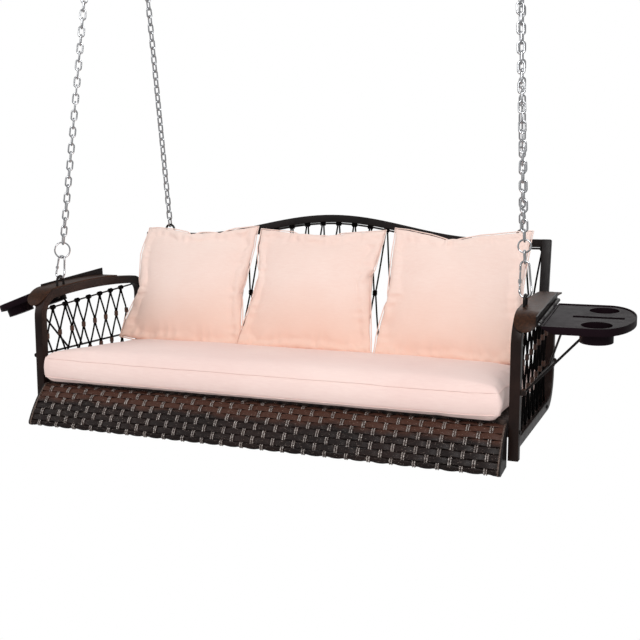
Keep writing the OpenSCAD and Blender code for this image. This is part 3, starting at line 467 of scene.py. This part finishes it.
def wrapped_band(at, place):
    """A strip wound round a pair of cords: an oval sleeve with one rib for each turn."""
    verts = []
    rings = BAND_TURNS * BAND_STEPS
    half_w, half_t = CORD_D + BAND_OVER, CORD_D / 2 + BAND_PAD
    for i in range(rings + 1):
        k = i / rings
        rib = BAND_RIB * abs(math.sin(math.pi * BAND_TURNS * k)) ** 0.6
        end = (1 - BAND_END) * min(1.0, 8 * min(k, 1 - k)) + BAND_END
        for s in range(BAND_SIDES):
            a = 2 * math.pi * s / BAND_SIDES
            x, y = math.cos(a) * (half_w * end + rib), math.sin(a) * (half_t * end + rib)
            z = (k - 0.5) * BAND_H + BAND_SLANT * math.sin(a)
            verts.append(place(at, x, y, z))
    return verts, tube_faces(rings + 1, BAND_SIDES)


OFF = CORD_D / 2 + 0.15                 # half the distance between the cords of a pair
KNOT_SHIFTS, KNOT_STEPS, KNOT_BITE, KNOT_THIN = (-0.3, 3.1), 18, 0.5, 0.86
CORD_SIDES, CORD_STEPS = 8, 4           # points round a cord, and steps between the points of its route
HUG, LAST_BEND = 7, 15                  # a cord's straight run past a row's middle, and its last bend
NEAR_LEAN, FAR_LEAN, OVER_ROD = 1.2, 1.5, 1.5
CORD_BOW = 0.9                          # the most that a cord bows between two rows


def tie(pile, centre, axis, across, k):
    """Adds two turns of cord, side by side, round a rod."""
    radius, wire = (ROD_D / 2 + CORD_D / 2 - KNOT_BITE) * MM, CORD_D / 2 * KNOT_THIN * MM
    other = axis.cross(across).normalized()
    for shift in KNOT_SHIFTS:
        middle = centre + axis * (k * shift * MM)
        path = [middle + across * (math.cos(a) * radius) + other * (math.sin(a) * radius)
                for a in (2 * math.pi * i / KNOT_STEPS for i in range(KNOT_STEPS))]
        pile.add(sweep(path, wire, CORD_SIDES, True))


def string(pile, at, near, far, k, heights, bow, bends):
    """Adds one cord: over the rod, through both rows of bands and down to its foot."""
    top, one, two, foot = heights
    rise, dip, bend = bends
    half = (near + far) / 2
    pts = [at(near, top + rise, OVER_ROD), at(near, top - 3), at(near + k * NEAR_LEAN, top - dip),
           at(half + bow, (top + one) / 2), at(far - k * FAR_LEAN, one + bend), at(far, one + HUG),
           at(far, one - HUG), at(far - k * FAR_LEAN, one - bend), at(half - bow, (one + two) / 2),
           at(near + k * NEAR_LEAN, two + bend), at(near, two + HUG), at(near, two - HUG),
           at(near + k * NEAR_LEAN, two - LAST_BEND), at(far, foot)]
    pile.add(sweep(spline(pts, CORD_STEPS), CORD_D / 2 * MM, CORD_SIDES))


# ---- back lattice ----
BACK_LEAN, BACK_Y, BACK_Z = math.radians(9), 494.5, 30.0
BACK_H, BACK_ARCH, ARCH_HALF, TOP_RAIL_H = 478.0, 65.0, 490.0, 20.0
BACK_PITCH, BACK_SHIFT, BACK_FOOT, BACK_N = 53.0, 16.0, 42.0, 11
ROWS = (1, 0.57, 0.205, 0)             # heights of the rod, both rows of bands and the foot, as shares
BACK_BENDS = (ROD_D + 1, 14, 16)


def back(x, z, y=0.0):
    """A point on the back's middle plane, at y in front of (-) or behind (+) it."""
    ly = TUBE / 2 + y
    return seat(x, BACK_Y + ly * math.cos(BACK_LEAN) + z * math.sin(BACK_LEAN),
                BACK_Z + z * math.cos(BACK_LEAN) - ly * math.sin(BACK_LEAN))


def crest(x):
    """Height of the arched top rail's upper face."""
    rise = (1 + math.cos(math.pi * x / ARCH_HALF)) / 2 if abs(x) < ARCH_HALF else 0
    return BACK_H + BACK_ARCH * rise


def rod_under(x):
    return crest(x) - TOP_RAIL_H - 4 - ROD_D


def row_z(x, j):
    return BACK_FOOT + ROWS[j] * (rod_under(x) - BACK_FOOT)


cords, knots = Pile(), Pile()
ENDS = [(-BACK_N - 1, 1), (BACK_N + 1, -1)]       # one more cord beside each post
for i, k in [(i, k) for i in range(-BACK_N, BACK_N + 1) for k in (-1, 1)] + ENDS:
    x = BACK_SHIFT + i * BACK_PITCH
    near, far, mid = x + k * OFF, x + k * (BACK_PITCH / 2 - OFF), x + k * BACK_PITCH / 2
    top = rod_under(near)
    string(cords, back, near, far, k, (top, row_z(mid, 1), row_z(x, 2), BACK_FOOT),
           CORD_BOW * math.sin(7.3 * i + k), BACK_BENDS)
    slope = (crest(near + 1) - crest(near - 1)) / 2
    axis = (back(near + 1, top + slope) - back(near, top)).normalized()
    across = (back(near, top, -1) - back(near, top)).normalized()
    tie(knots, back(near, top + ROD_D / 2), axis, across, k)
piece(cords.object("back_lattice", "cord"), "swing", "cord", "back_cords")
piece(knots.object("back_knots", "cord"), "swing", "cord")

bands = Pile()


def back_band_place(at, x, y, z):
    return back(at[0] + x, at[1] + z, y)


for i in range(-BACK_N, BACK_N + 2):
    x = BACK_SHIFT + (i - 0.5) * BACK_PITCH
    bands.add(wrapped_band((x, row_z(x, 1)), back_band_place))
for i in range(-BACK_N, BACK_N + 1):
    x = BACK_SHIFT + i * BACK_PITCH
    bands.add(wrapped_band((x, row_z(x, 2)), back_band_place))
piece(bands.object("back_wraps", "cord"), "swing", "cord", "back_bands")

# ---- side lattices ----
SIDE_Y0, SIDE_PITCH, SIDE_N, SIDE_ROW, RAIL_Z = 69.0, 59.0, 7, 80.0, 30.0
ROD_FRONT_Z, ROD_RISE = 297.0, 0.073
SIDE_BENDS = (ROD_D, 13, 15)


def rod_z(y):
    return ROD_FRONT_Z + ROD_RISE * (y - TUBE)


for side, s in (("left", -1), ("right", 1)):
    def at_side(y, z, x=0.0):
        return seat(s * (ARM_EYE_X + x), y, z)

    cords, bands = Pile(), Pile()
    for i in range(SIDE_N):
        for k in (-1, 1):
            y = SIDE_Y0 + i * SIDE_PITCH
            near, far, mid = y + k * OFF, y + k * (SIDE_PITCH / 2 - OFF), y + k * SIDE_PITCH / 2
            heights = (rod_z(near) - ROD_D / 2, rod_z(mid) - SIDE_ROW, rod_z(y) - 2 * SIDE_ROW,
                       RAIL_Z + TUBE - 2)
            string(cords, at_side, near, far, k, heights, CORD_BOW * math.sin(5.1 * i + k), SIDE_BENDS)
            centre = at_side(near, rod_z(near))
            axis = (at_side(near + 1, rod_z(near + 1)) - centre).normalized()
            tie(cords, centre, axis, Vector((1, 0, 0)), k)

    def side_band_place(at, x, y, z):
        return seat(s * (ARM_EYE_X + y), at[0] + x, at[1] + z)

    for i in range(SIDE_N + 1):
        y = SIDE_Y0 + (i - 0.5) * SIDE_PITCH
        bands.add(wrapped_band((y, rod_z(y) - SIDE_ROW), side_band_place))
    for i in range(SIDE_N):
        y = SIDE_Y0 + i * SIDE_PITCH
        bands.add(wrapped_band((y, rod_z(y) - 2 * SIDE_ROW), side_band_place))
    piece(cords.object("side_lattice_" + side, "cord"), "swing", "cord", "side_cords_" + side)
    piece(bands.object("side_wraps_" + side, "brown_band"), "swing", "brown_band", "side_bands_" + side)

# ---- woven front roll ----
SEAT_Z, ROLL_OUT, ROLL_DROP, SKIN_T, ROLL_LIP, ROLL_SAG = 70.0, 77.0, 21.0, 4.0, 9.0, 6.0
TOUCH, DECK_FRONT, ROLL_HALF = 0.3, 16.0, SIDE_IN - 6
CORNER = Vector((-TOUCH, SEAT_Z + TUBE / 2 + TOUCH))
ROLL_ROD = Vector((-ROLL_OUT + ROLL_LIP, -ROLL_DROP + ROLL_LIP))
ROLL_DIR = ROLL_ROD - CORNER
ROLL_NORMAL = Vector((ROLL_DIR.y, -ROLL_DIR.x)).normalized()
ROLL_TURN = math.degrees(math.atan2(ROLL_NORMAL.y, ROLL_NORMAL.x))
HEM_TURN, FRONT_STEPS = 300, 12


def arc2(c, r, a0, a1, n):
    """Points of an arc between two angles in degrees."""
    return [c + Vector((math.cos(a), math.sin(a))) * r
            for a in (math.radians(a0 + (a1 - a0) * i / n) for i in range(n + 1))]


def roll_profile():
    """The middle of the woven skin, from the deck over the rail and round the lower rod."""
    mid = SKIN_T / 2
    pts = [Vector((DECK_FRONT - TOUCH, CORNER.y + mid))] + arc2(CORNER, mid, 90, ROLL_TURN - 8, 4)
    for i in range(1, FRONT_STEPS + 1):
        k = i / FRONT_STEPS
        pts.append(CORNER + ROLL_DIR * k
                   + ROLL_NORMAL * (mid + (ROLL_LIP - SKIN_T) * k + 4 * ROLL_SAG * k * (1 - k)))
    pts += arc2(ROLL_ROD, ROLL_LIP - mid, ROLL_TURN + 12, HEM_TURN, 8)
    return pts


PROFILE = roll_profile()
LENGTHS = [0.0]
for a, b in zip(PROFILE, PROFILE[1:]):
    LENGTHS.append(LENGTHS[-1] + (b - a).length)
ROLL_LEN = LENGTHS[-1]


def on_roll(s, x, h):
    """A point of the skin: s along the profile, x along the seat, h out of its middle."""
    s = min(max(s, 0.0), ROLL_LEN - 1e-6)
    i = max(j for j in range(len(LENGTHS) - 1) if LENGTHS[j] <= s)
    t = (s - LENGTHS[i]) / (LENGTHS[i + 1] - LENGTHS[i])

    def normal_at(j):
        d = PROFILE[min(j + 1, len(PROFILE) - 1)] - PROFILE[max(j - 1, 0)]
        return Vector((d.y, -d.x)).normalized()
    p = PROFILE[i].lerp(PROFILE[i + 1], t)
    n = normal_at(i).lerp(normal_at(i + 1), t).normalized()
    p = p + n * h
    return seat(x, p.x, p.y)


PITCH, ROW_H, STRIP_W, STRIP_T, WAVE = 29.0, 18.2, 16.4, 1.1, 1.35
ROW_COUNT = int(ROLL_LEN / ROW_H)
ROW_START = (ROLL_LEN - ROW_COUNT * ROW_H) / 2


def weave_wave(u):
    """A cosine with flattened crests, as stiff strips lie."""
    c = math.cos(u)
    return math.copysign(abs(c) ** 0.7, c)


STRIP_STEPS, STRIP_CROWN = 368, 0.7
ACROSS = (-0.5, -0.36, 0.0, 0.36, 0.5)  # places across a strip, as shares of its width
strips = Pile()
for row in range(ROW_COUNT):
    middle = ROW_START + (row + 0.5) * ROW_H
    verts = []
    for i in range(STRIP_STEPS + 1):
        x = -ROLL_HALF + 2 * ROLL_HALF * i / STRIP_STEPS
        lift = WAVE * weave_wave(math.pi * (x / PITCH + row))
        skew = 0.35 * math.sin(0.021 * x + 2.1 * row)
        for t in ACROSS:
            crown = STRIP_CROWN * (0.25 - t * t)
            verts.append(on_roll(middle + skew + t * STRIP_W, x, lift + STRIP_T / 2 + crown))
        for t in reversed(ACROSS):
            verts.append(on_roll(middle + skew + t * STRIP_W, x, lift - STRIP_T / 2))
    strips.add((verts, tube_faces(STRIP_STEPS + 1, 2 * len(ACROSS))))
piece(strips.object("roll_strips", "strip"), "swing", "weave", "front_roll")

RIB_N, RIB_OFF, RIB_STEPS, RIB_LIFT, RIB_R = 22, 2.7, 44, 1.15, 1.75
ribs = Pile()
for k in range(-RIB_N, RIB_N + 1):
    for side_step in (-1, 1):
        x = k * PITCH + side_step * RIB_OFF
        path = []
        for i in range(RIB_STEPS + 1):
            s_at = ROLL_LEN * i / RIB_STEPS
            lift = -WAVE * weave_wave(math.pi * ((s_at - ROW_START) / ROW_H - 0.5 + k))
            path.append(on_roll(s_at, x, lift * RIB_LIFT))
        ribs.add(sweep(path, RIB_R * MM, 6))
piece(ribs.object("roll_ribs", "rib"), "swing", "weave")

HEM_STEPS, HEM_INSET, HEM_LIFT, HEM_R = 40, 1.8, 0.6, 2.4
SHADE_SHEET = (-1.9, -2.6)                   # painted shade: the faces of a dark sheet behind the weave, out of the skin's middle
hems = Pile()
for s_side in (-1, 1):
    path = [on_roll(ROLL_LEN * i / HEM_STEPS, s_side * (ROLL_HALF - HEM_INSET), HEM_LIFT)
            for i in range(HEM_STEPS + 1)]
    hems.add(sweep(path, HEM_R * MM, 10))
piece(hems.object("roll_hems", "hem"), "swing", "weave")

# painted shade: a dark sheet just behind the weave, standing in for the shade inside the roll that shows
# between the strips
shade_sheet_verts, shade_sheet_faces = [], []
for i in range(HEM_STEPS + 1):
    for x in (-ROLL_HALF, ROLL_HALF):
        for h in SHADE_SHEET:
            shade_sheet_verts.append(on_roll(ROLL_LEN * i / HEM_STEPS, x, h))
for i in range(HEM_STEPS):
    a, b = 4 * i, 4 * (i + 1)
    shade_sheet_faces += [(a, a + 2, b + 2, b), (a + 1, b + 1, b + 3, a + 3), (a, b, b + 1, a + 1),
                     (a + 2, a + 3, b + 3, b + 2)]
last = 4 * HEM_STEPS
shade_sheet_faces += [(0, 1, 3, 2), (last, last + 2, last + 3, last + 1)]
piece(new_mesh("roll_shade_sheet", shade_sheet_verts, shade_sheet_faces, "black_metal"), "swing", "black_metal")


# ---- cushions ----
CLOTH_QUALITY, CLOTH_MASS, CLOTH_STRETCH, CLOTH_SHEAR = 6, 0.25, 18, 6


def cloth(o, frames, pressure, cap, shrink, bending, keep=None):
    """Inflates a closed cloth mesh and caps how far each point moves; keep may bound a point."""
    start = [v.co.copy() for v in o.data.vertices]
    m = o.modifiers.new("Cloth", "CLOTH")
    c = m.settings
    c.quality, c.mass = CLOTH_QUALITY, CLOTH_MASS
    c.tension_stiffness = c.compression_stiffness = CLOTH_STRETCH
    c.shear_stiffness, c.bending_stiffness = CLOTH_SHEAR, bending
    c.use_pressure, c.uniform_pressure_force = True, pressure
    c.shrink_min = shrink
    c.effector_weights.gravity = 0
    m.collision_settings.use_collision = False
    m.point_cache.frame_start, m.point_cache.frame_end = 1, frames
    for f in range(1, frames + 1):
        scene.frame_set(f)
    got = o.evaluated_get(bpy.context.evaluated_depsgraph_get()).data
    moved = [v.co.copy() for v in got.vertices]
    o.modifiers.remove(m)
    scene.frame_set(1)
    for v, a, b in zip(o.data.vertices, start, moved):
        d = b - a
        if d.length > cap:
            d = d * (cap / d.length)
        v.co = a + d if keep is None else keep(a + d)
    o.data.update()


def edge_ring(nx, ny):
    """Grid places once round the edge of nx by ny cells."""
    return ([(i, 0) for i in range(nx)] + [(nx, j) for j in range(ny)]
            + [(i, ny) for i in range(nx, 0, -1)] + [(0, j) for j in range(ny, 0, -1)])


def lumps(p, scale, seed):
    """Smooth unevenness of a form, from -1 to 1."""
    return noise.noise(Vector((p[0] * scale + seed, p[1] * scale, p[2] * scale - seed)))


def box_form(nx, ny, nz, top, base, bulge):
    """A closed box form; returns vertices, faces and the two seam loops."""
    verts, faces = [], []
    ring = edge_ring(nx, ny)
    index = {}
    for layer, face in ((0, base), (1, top)):
        for j in range(ny + 1):
            for i in range(nx + 1):
                index[(layer, i, j)] = len(verts)
                verts.append(face(2 * i / nx - 1, 2 * j / ny - 1))
        for j in range(ny):
            for i in range(nx):
                q = (index[(layer, i, j)], index[(layer, i + 1, j)], index[(layer, i + 1, j + 1)],
                     index[(layer, i, j + 1)])
                faces.append(q if layer else q[::-1])
    rows = [[index[(0, i, j)] for i, j in ring]]
    for k in range(1, nz):
        t = k / nz
        row = []
        for i, j in ring:
            a, b = verts[index[(0, i, j)]], verts[index[(1, i, j)]]
            p = a.lerp(b, t)
            edge = Vector((0, 0, 0))
            if j == 0 or j == ny:
                edge.y = -1 if j == 0 else 1
            if i == 0 or i == nx:
                edge.x = -1 if i == 0 else 1
            row.append(len(verts))
            verts.append(p + edge.normalized() * bulge * (1 - (2 * t - 1) ** 2))
        rows.append(row)
    rows.append([index[(1, i, j)] for i, j in ring])
    n = len(ring)
    for lower, upper in zip(rows, rows[1:]):
        for k in range(n):
            m = (k + 1) % n
            faces.append((lower[k], lower[m], upper[m], upper[k]))
    return verts, faces, rows[0], rows[-1]


CUSHION_T, CUSHION_CROWN, CUSHION_OVER = 82.0, 9.0, 45.0
CUSHION_D, CUSHION_HALF, CUSHION_DRAW = 522.0, 669.0, 5.0
CUSHION_GRID, CUSHION_BULGE, PIPING_R, SETTLE = (112, 44, 7), 5, 1.0, 0.6
CUSHION_START = (0.994, 0.985, 0.93)    # its share of each size before it is inflated
CORNER_R, DROOP, DROOP_FROM = 42.0, 10, 0.83
DECK_T, SEAT_SLOPE = 12.0, math.radians(3.4)


def cushion_plan(u, v):
    """The plan's sides are drawn in a little towards their middles."""
    return (u * (CUSHION_HALF - CUSHION_DRAW * (1 - v * v)),
            v * (CUSHION_D / 2 - CUSHION_DRAW * (1 - u * u)))


def cushion_edge(u, v):
    return 1 - 0.3 * max(abs(u), abs(v)) ** 12


def cushion_top(u, v):
    x, y = cushion_plan(u, v)
    z = CUSHION_T / 2 * cushion_edge(u, v) + CUSHION_CROWN * (1 - u ** 6) * (1 - v ** 4)
    return Vector((x, y, z)) * MM


def cushion_base(u, v):
    x, y = cushion_plan(u, v)
    return Vector((x, y, -CUSHION_T / 2 * cushion_edge(u, v))) * MM


def place_cushion(p):
    """From the seat cushion's own frame to the row frame."""
    q = Matrix.Rotation(-SEAT_SLOPE, 3, "X") @ (p + Vector((0, (CUSHION_D / 2 - CUSHION_OVER),
                                                            TUBE / 2 + DECK_T + SETTLE + CUSHION_T / 2)) * MM)
    return q + Vector((0, -HANG_Y, SEAT_Z - CEILING_Z)) * MM


def droop(p):
    """Rounds the cushion's front corners and lets its front hang a little over the rail."""
    over_x = abs(p.x) / MM - (CUSHION_HALF - CORNER_R)
    over_y = -p.y / MM - (CUSHION_D / 2 - CORNER_R)
    if over_x > 0 and over_y > 0:
        inward = max(over_x, over_y) / math.hypot(over_x, over_y)
        p = Vector((math.copysign((CUSHION_HALF - CORNER_R + over_x * inward) * MM, p.x),
                    -(CUSHION_D / 2 - CORNER_R + over_y * inward) * MM, p.z))
    u = p.x / (CUSHION_HALF * MM)
    ahead = min(max((-p.y / (CUSHION_D / 2 * MM) - DROOP_FROM) / (1 - DROOP_FROM), 0), 1)
    low = 0.5 - p.z / (CUSHION_T * MM)
    fall = DROOP * MM * ahead ** 1.5 * (1 - abs(u) ** 5) * (0.25 + 0.75 * min(max(low, 0), 1))
    return Vector((p.x, p.y - 0.25 * fall, p.z - fall))


def seat_cushion():
    """A box cushion with piping along both seams."""
    verts, faces, low_loop, high_loop = box_form(*CUSHION_GRID, cushion_top, cushion_base,
                                                 CUSHION_BULGE * MM)
    sx, sy, sz = CUSHION_START
    shrunk = []
    for p in verts:
        ripple = 1.2 * MM * lumps(p, 9, 3.0) + 0.8 * MM * lumps(p, 26, 9.0)
        shrunk.append(Vector((p.x * sx, p.y * sy, p.z * sz + (ripple if p.z > 0 else 0))))
    o = new_mesh("seat_cushion_cloth", shrunk, faces, "seat_cloth")
    base_z, side_x = (-CUSHION_T / 2 + 0.5) * MM, CUSHION_HALF * MM

    def keep(p):
        """Holds a point above the deck and between the side frames."""
        p.z = max(p.z, base_z)
        p.x = max(min(p.x, side_x), -side_x)
        return p
    cloth(o, 16, 2.2, 13 * MM, -0.012, 0.6, keep)
    loops = [[o.data.vertices[i].co.copy() for i in loop] for loop in (low_loop, high_loop)]
    for v in o.data.vertices:
        v.co = place_cushion(droop(v.co))
    sub = o.modifiers.new("soft", "SUBSURF")
    sub.levels = sub.render_levels = 1
    piece(o, "swing", "fabric", "seat_cushion")
    piping = Pile()
    for loop in loops:
        n = len(loop)
        path = [place_cushion(droop((loop[i - 1] + loop[i] * 2 + loop[(i + 1) % n]) / 4)) for i in range(n)]
        piping.add(sweep(path, PIPING_R * MM, 8, True))
    piece(piping.object("seat_cushion_piping", "seat_cloth"), "swing", "fabric")


seat_cushion()

PILLOW_W, PILLOW_H, PILLOW_T, PILLOW_LEAN, PILLOW_DRAW = 420.0, 392.0, 150.0, 24.0, 17.0
PILLOW_FOOT_Y, PILLOW_MIDDLE = 372.0, -19.0
PILLOW_GRID, PILLOW_START, PUCKER, DIMPLE, SEAM_R = 64, 0.86, 2.6, 3.0, 1.7
PILLOW_FOOT_Z = (SEAT_Z + TUBE / 2 + DECK_T + SETTLE + CUSHION_T + CUSHION_CROWN
                 - PILLOW_FOOT_Y * math.tan(SEAT_SLOPE) + TOUCH)


def pillow(name, x, seed, sag):
    """A loose square pillow: two panels sewn on a knife edge, puckered along the seam."""
    n = PILLOW_GRID
    verts, faces = [], []
    index = {}
    for layer in (-1, 1):
        for j in range(n + 1):
            for i in range(n + 1):
                edge = i in (0, n) or j in (0, n)
                if edge and layer == 1:
                    index[(layer, i, j)] = index[(-1, i, j)]
                    continue
                u, v = 2 * i / n - 1, 2 * j / n - 1
                px = u * (PILLOW_W / 2 - PILLOW_DRAW * (1 - v * v))
                py = v * (PILLOW_H / 2 - PILLOW_DRAW * (0.6 + 0.4 * v) * (1 - u * u))
                fat = ((1 - u * u) * (1 - v * v)) ** 0.45
                pz = layer * (PILLOW_T / 2 * PILLOW_START) * fat if not edge else 0.0
                if not edge:
                    rim = 1 - min(1, 3.2 * min(1 - abs(u), 1 - abs(v)))
                    along = px if 1 - abs(v) < 1 - abs(u) else py
                    drift = 1.5 * math.sin(along * 0.05 + seed)
                    pz += layer * rim * PUCKER * math.sin(along * 0.16 + seed + drift)
                    pz += layer * DIMPLE * noise.noise(Vector((u * 2.1 + seed, v * 2.1, layer * 3.0)))
                index[(layer, i, j)] = len(verts)
                verts.append(Vector((px, py, pz)) * MM)
        for j in range(n):
            for i in range(n):
                q = (index[(layer, i, j)], index[(layer, i + 1, j)], index[(layer, i + 1, j + 1)],
                     index[(layer, i, j + 1)])
                faces.append(q if layer > 0 else q[::-1])
    loop = [index[(1, i, j)] for i, j in edge_ring(n, n)]
    o = new_mesh(name, verts, faces, "fabric")
    cloth(o, 18, 3.2, 20 * MM, -0.03, 0.25)
    turn = Matrix.Rotation(math.radians(90 - PILLOW_LEAN), 3, "X")

    def placed(p):
        """From the pillow's own frame to the row frame, slumped towards its foot."""
        k = p.y / (PILLOW_H * MM / 2)
        slump = sag * (1 - k) ** 2 * 0.25
        q = turn @ Vector((p.x * (1 + 0.02 * slump), p.y + PILLOW_H / 2 * MM, p.z * (1 + 0.10 * slump)))
        return q + Vector((x, PILLOW_FOOT_Y - HANG_Y, PILLOW_FOOT_Z - CEILING_Z)) * MM
    seam = [o.data.vertices[i].co.copy() for i in loop]
    for v in o.data.vertices:
        v.co = placed(v.co)
    sub = o.modifiers.new("soft", "SUBSURF")
    sub.levels = sub.render_levels = 1
    cad_name = name.replace("_cloth", "")
    piece(o, "swing", "fabric", cad_name)
    made = sweep([placed(p) for p in seam], SEAM_R * MM, 6, True)
    piece(new_mesh(cad_name + "_seam", made[0], made[1], "fabric"), "swing", "fabric")


GAP_LEFT, GAP_RIGHT = 2.0, 23.0
pillow("pillow_left_cloth", PILLOW_MIDDLE - PILLOW_W - GAP_LEFT, 1.7, 1.0)
pillow("pillow_middle_cloth", PILLOW_MIDDLE, 4.1, 0.8)
pillow("pillow_right_cloth", PILLOW_MIDDLE + PILLOW_W + GAP_RIGHT, 7.9, 1.0)


# ---- stage, light and camera ----
STUDIO_GLOSS = 0.38                     # brightness of the studio in reflections, the backdrop being 1
SOFT_LIGHT, FLOOR_DROP, FLOOR_SIZE = 0.56, 0.43, 24


def backdrop_material():
    """White to the camera, dimmer in reflections and matt to all other light."""
    n = Nodes("white_stage")
    path = n.tree.nodes.new("ShaderNodeLightPath")
    seen = n.math("MAXIMUM", path.outputs["Is Camera Ray"],
                  n.math("MAXIMUM", path.outputs["Is Glossy Ray"], path.outputs["Is Transmission Ray"]))
    n.bsdf.inputs["Base Color"].default_value = (0.8, 0.8, 0.8, 1)
    n.bsdf.inputs["Roughness"].default_value = 0.9
    glow = n.tree.nodes.new("ShaderNodeEmission")
    dimmed = n.math("MULTIPLY", path.outputs["Is Glossy Ray"], STUDIO_GLOSS - 1)
    n.link(n.math("ADD", dimmed, 1.0), glow.inputs["Strength"])
    mix = n.tree.nodes.new("ShaderNodeMixShader")
    n.link(seen, mix.inputs[0])
    n.link(n.bsdf.outputs[0], mix.inputs[1])
    n.link(glow.outputs[0], mix.inputs[2])
    n.link(mix.outputs[0], n.out.inputs["Surface"])
    return n.mat


FLOOR_Z = -CEILING_Z * MM - FLOOR_DROP
bpy.ops.mesh.primitive_plane_add(size=FLOOR_SIZE, location=(0, 0, FLOOR_Z))
floor = bpy.context.object
floor.name = "floor"
floor.data.materials.append(backdrop_material())

world = bpy.data.worlds.new("soft_white")
scene.world = world
world.use_nodes = True
tree = world.node_tree
tree.nodes.clear()
out = tree.nodes.new("ShaderNodeOutputWorld")
soft, white = tree.nodes.new("ShaderNodeBackground"), tree.nodes.new("ShaderNodeBackground")
soft.inputs["Color"].default_value = (1, 1, 1, 1)
soft.inputs["Strength"].default_value = SOFT_LIGHT
white.inputs["Color"].default_value = (1, 1, 1, 1)
light_path = tree.nodes.new("ShaderNodeLightPath")
dimmer = tree.nodes.new("ShaderNodeMath")
dimmer.operation = "MULTIPLY_ADD"
dimmer.inputs[1].default_value, dimmer.inputs[2].default_value = STUDIO_GLOSS - 1, 1.0
tree.links.new(light_path.outputs["Is Glossy Ray"], dimmer.inputs[0])
tree.links.new(dimmer.outputs[0], white.inputs["Strength"])


def larger(a, b):
    """The larger of two values of the world's nodes."""
    m = tree.nodes.new("ShaderNodeMath")
    m.operation = "MAXIMUM"
    tree.links.new(a, m.inputs[0])
    tree.links.new(b, m.inputs[1])
    return m.outputs[0]


mixer = tree.nodes.new("ShaderNodeMixShader")
tree.links.new(larger(light_path.outputs["Is Camera Ray"],
                      larger(light_path.outputs["Is Glossy Ray"], light_path.outputs["Is Transmission Ray"])),
               mixer.inputs[0])
tree.links.new(soft.outputs[0], mixer.inputs[1])
tree.links.new(white.outputs[0], mixer.inputs[2])
tree.links.new(mixer.outputs[0], out.inputs["Surface"])


def lamp(name, at, target, size, power):
    """A square area lamp, sizes in metres and power in watts."""
    data = bpy.data.lights.new(name, "AREA")
    data.shape, data.size, data.energy = "SQUARE", size, power
    o = bpy.data.objects.new(name, data)
    scene.collection.objects.link(o)
    o.location = at
    o.rotation_mode = "QUATERNION"
    o.rotation_quaternion = (Vector(target) - Vector(at)).to_track_quat("-Z", "Y")


SEAT_MIDDLE = (0, 0, -1.15)
lamp("key", (1.5, -2.7, 1.35), SEAT_MIDDLE, 1.7, 72)
lamp("fill", (-2.8, -2.2, 0.5), SEAT_MIDDLE, 2.2, 17)
lamp("rim", (0.6, 2.6, 1.2), SEAT_MIDDLE, 2.0, 20)

LENS, SENSOR, CAMERA_AT = 53.83, 36.0, (1.09705, -2.54720, -0.75159)
CAMERA_TILT, CAMERA_PAN = 82.2847, 22.1172
camera = bpy.data.objects.new("camera", bpy.data.cameras.new("camera"))
scene.collection.objects.link(camera)
camera.data.lens, camera.data.sensor_width = LENS, SENSOR
camera.location = CAMERA_AT
camera.rotation_euler = (math.radians(CAMERA_TILT), 0, math.radians(CAMERA_PAN))
scene.camera = camera
scene.view_settings.view_transform = "Standard"
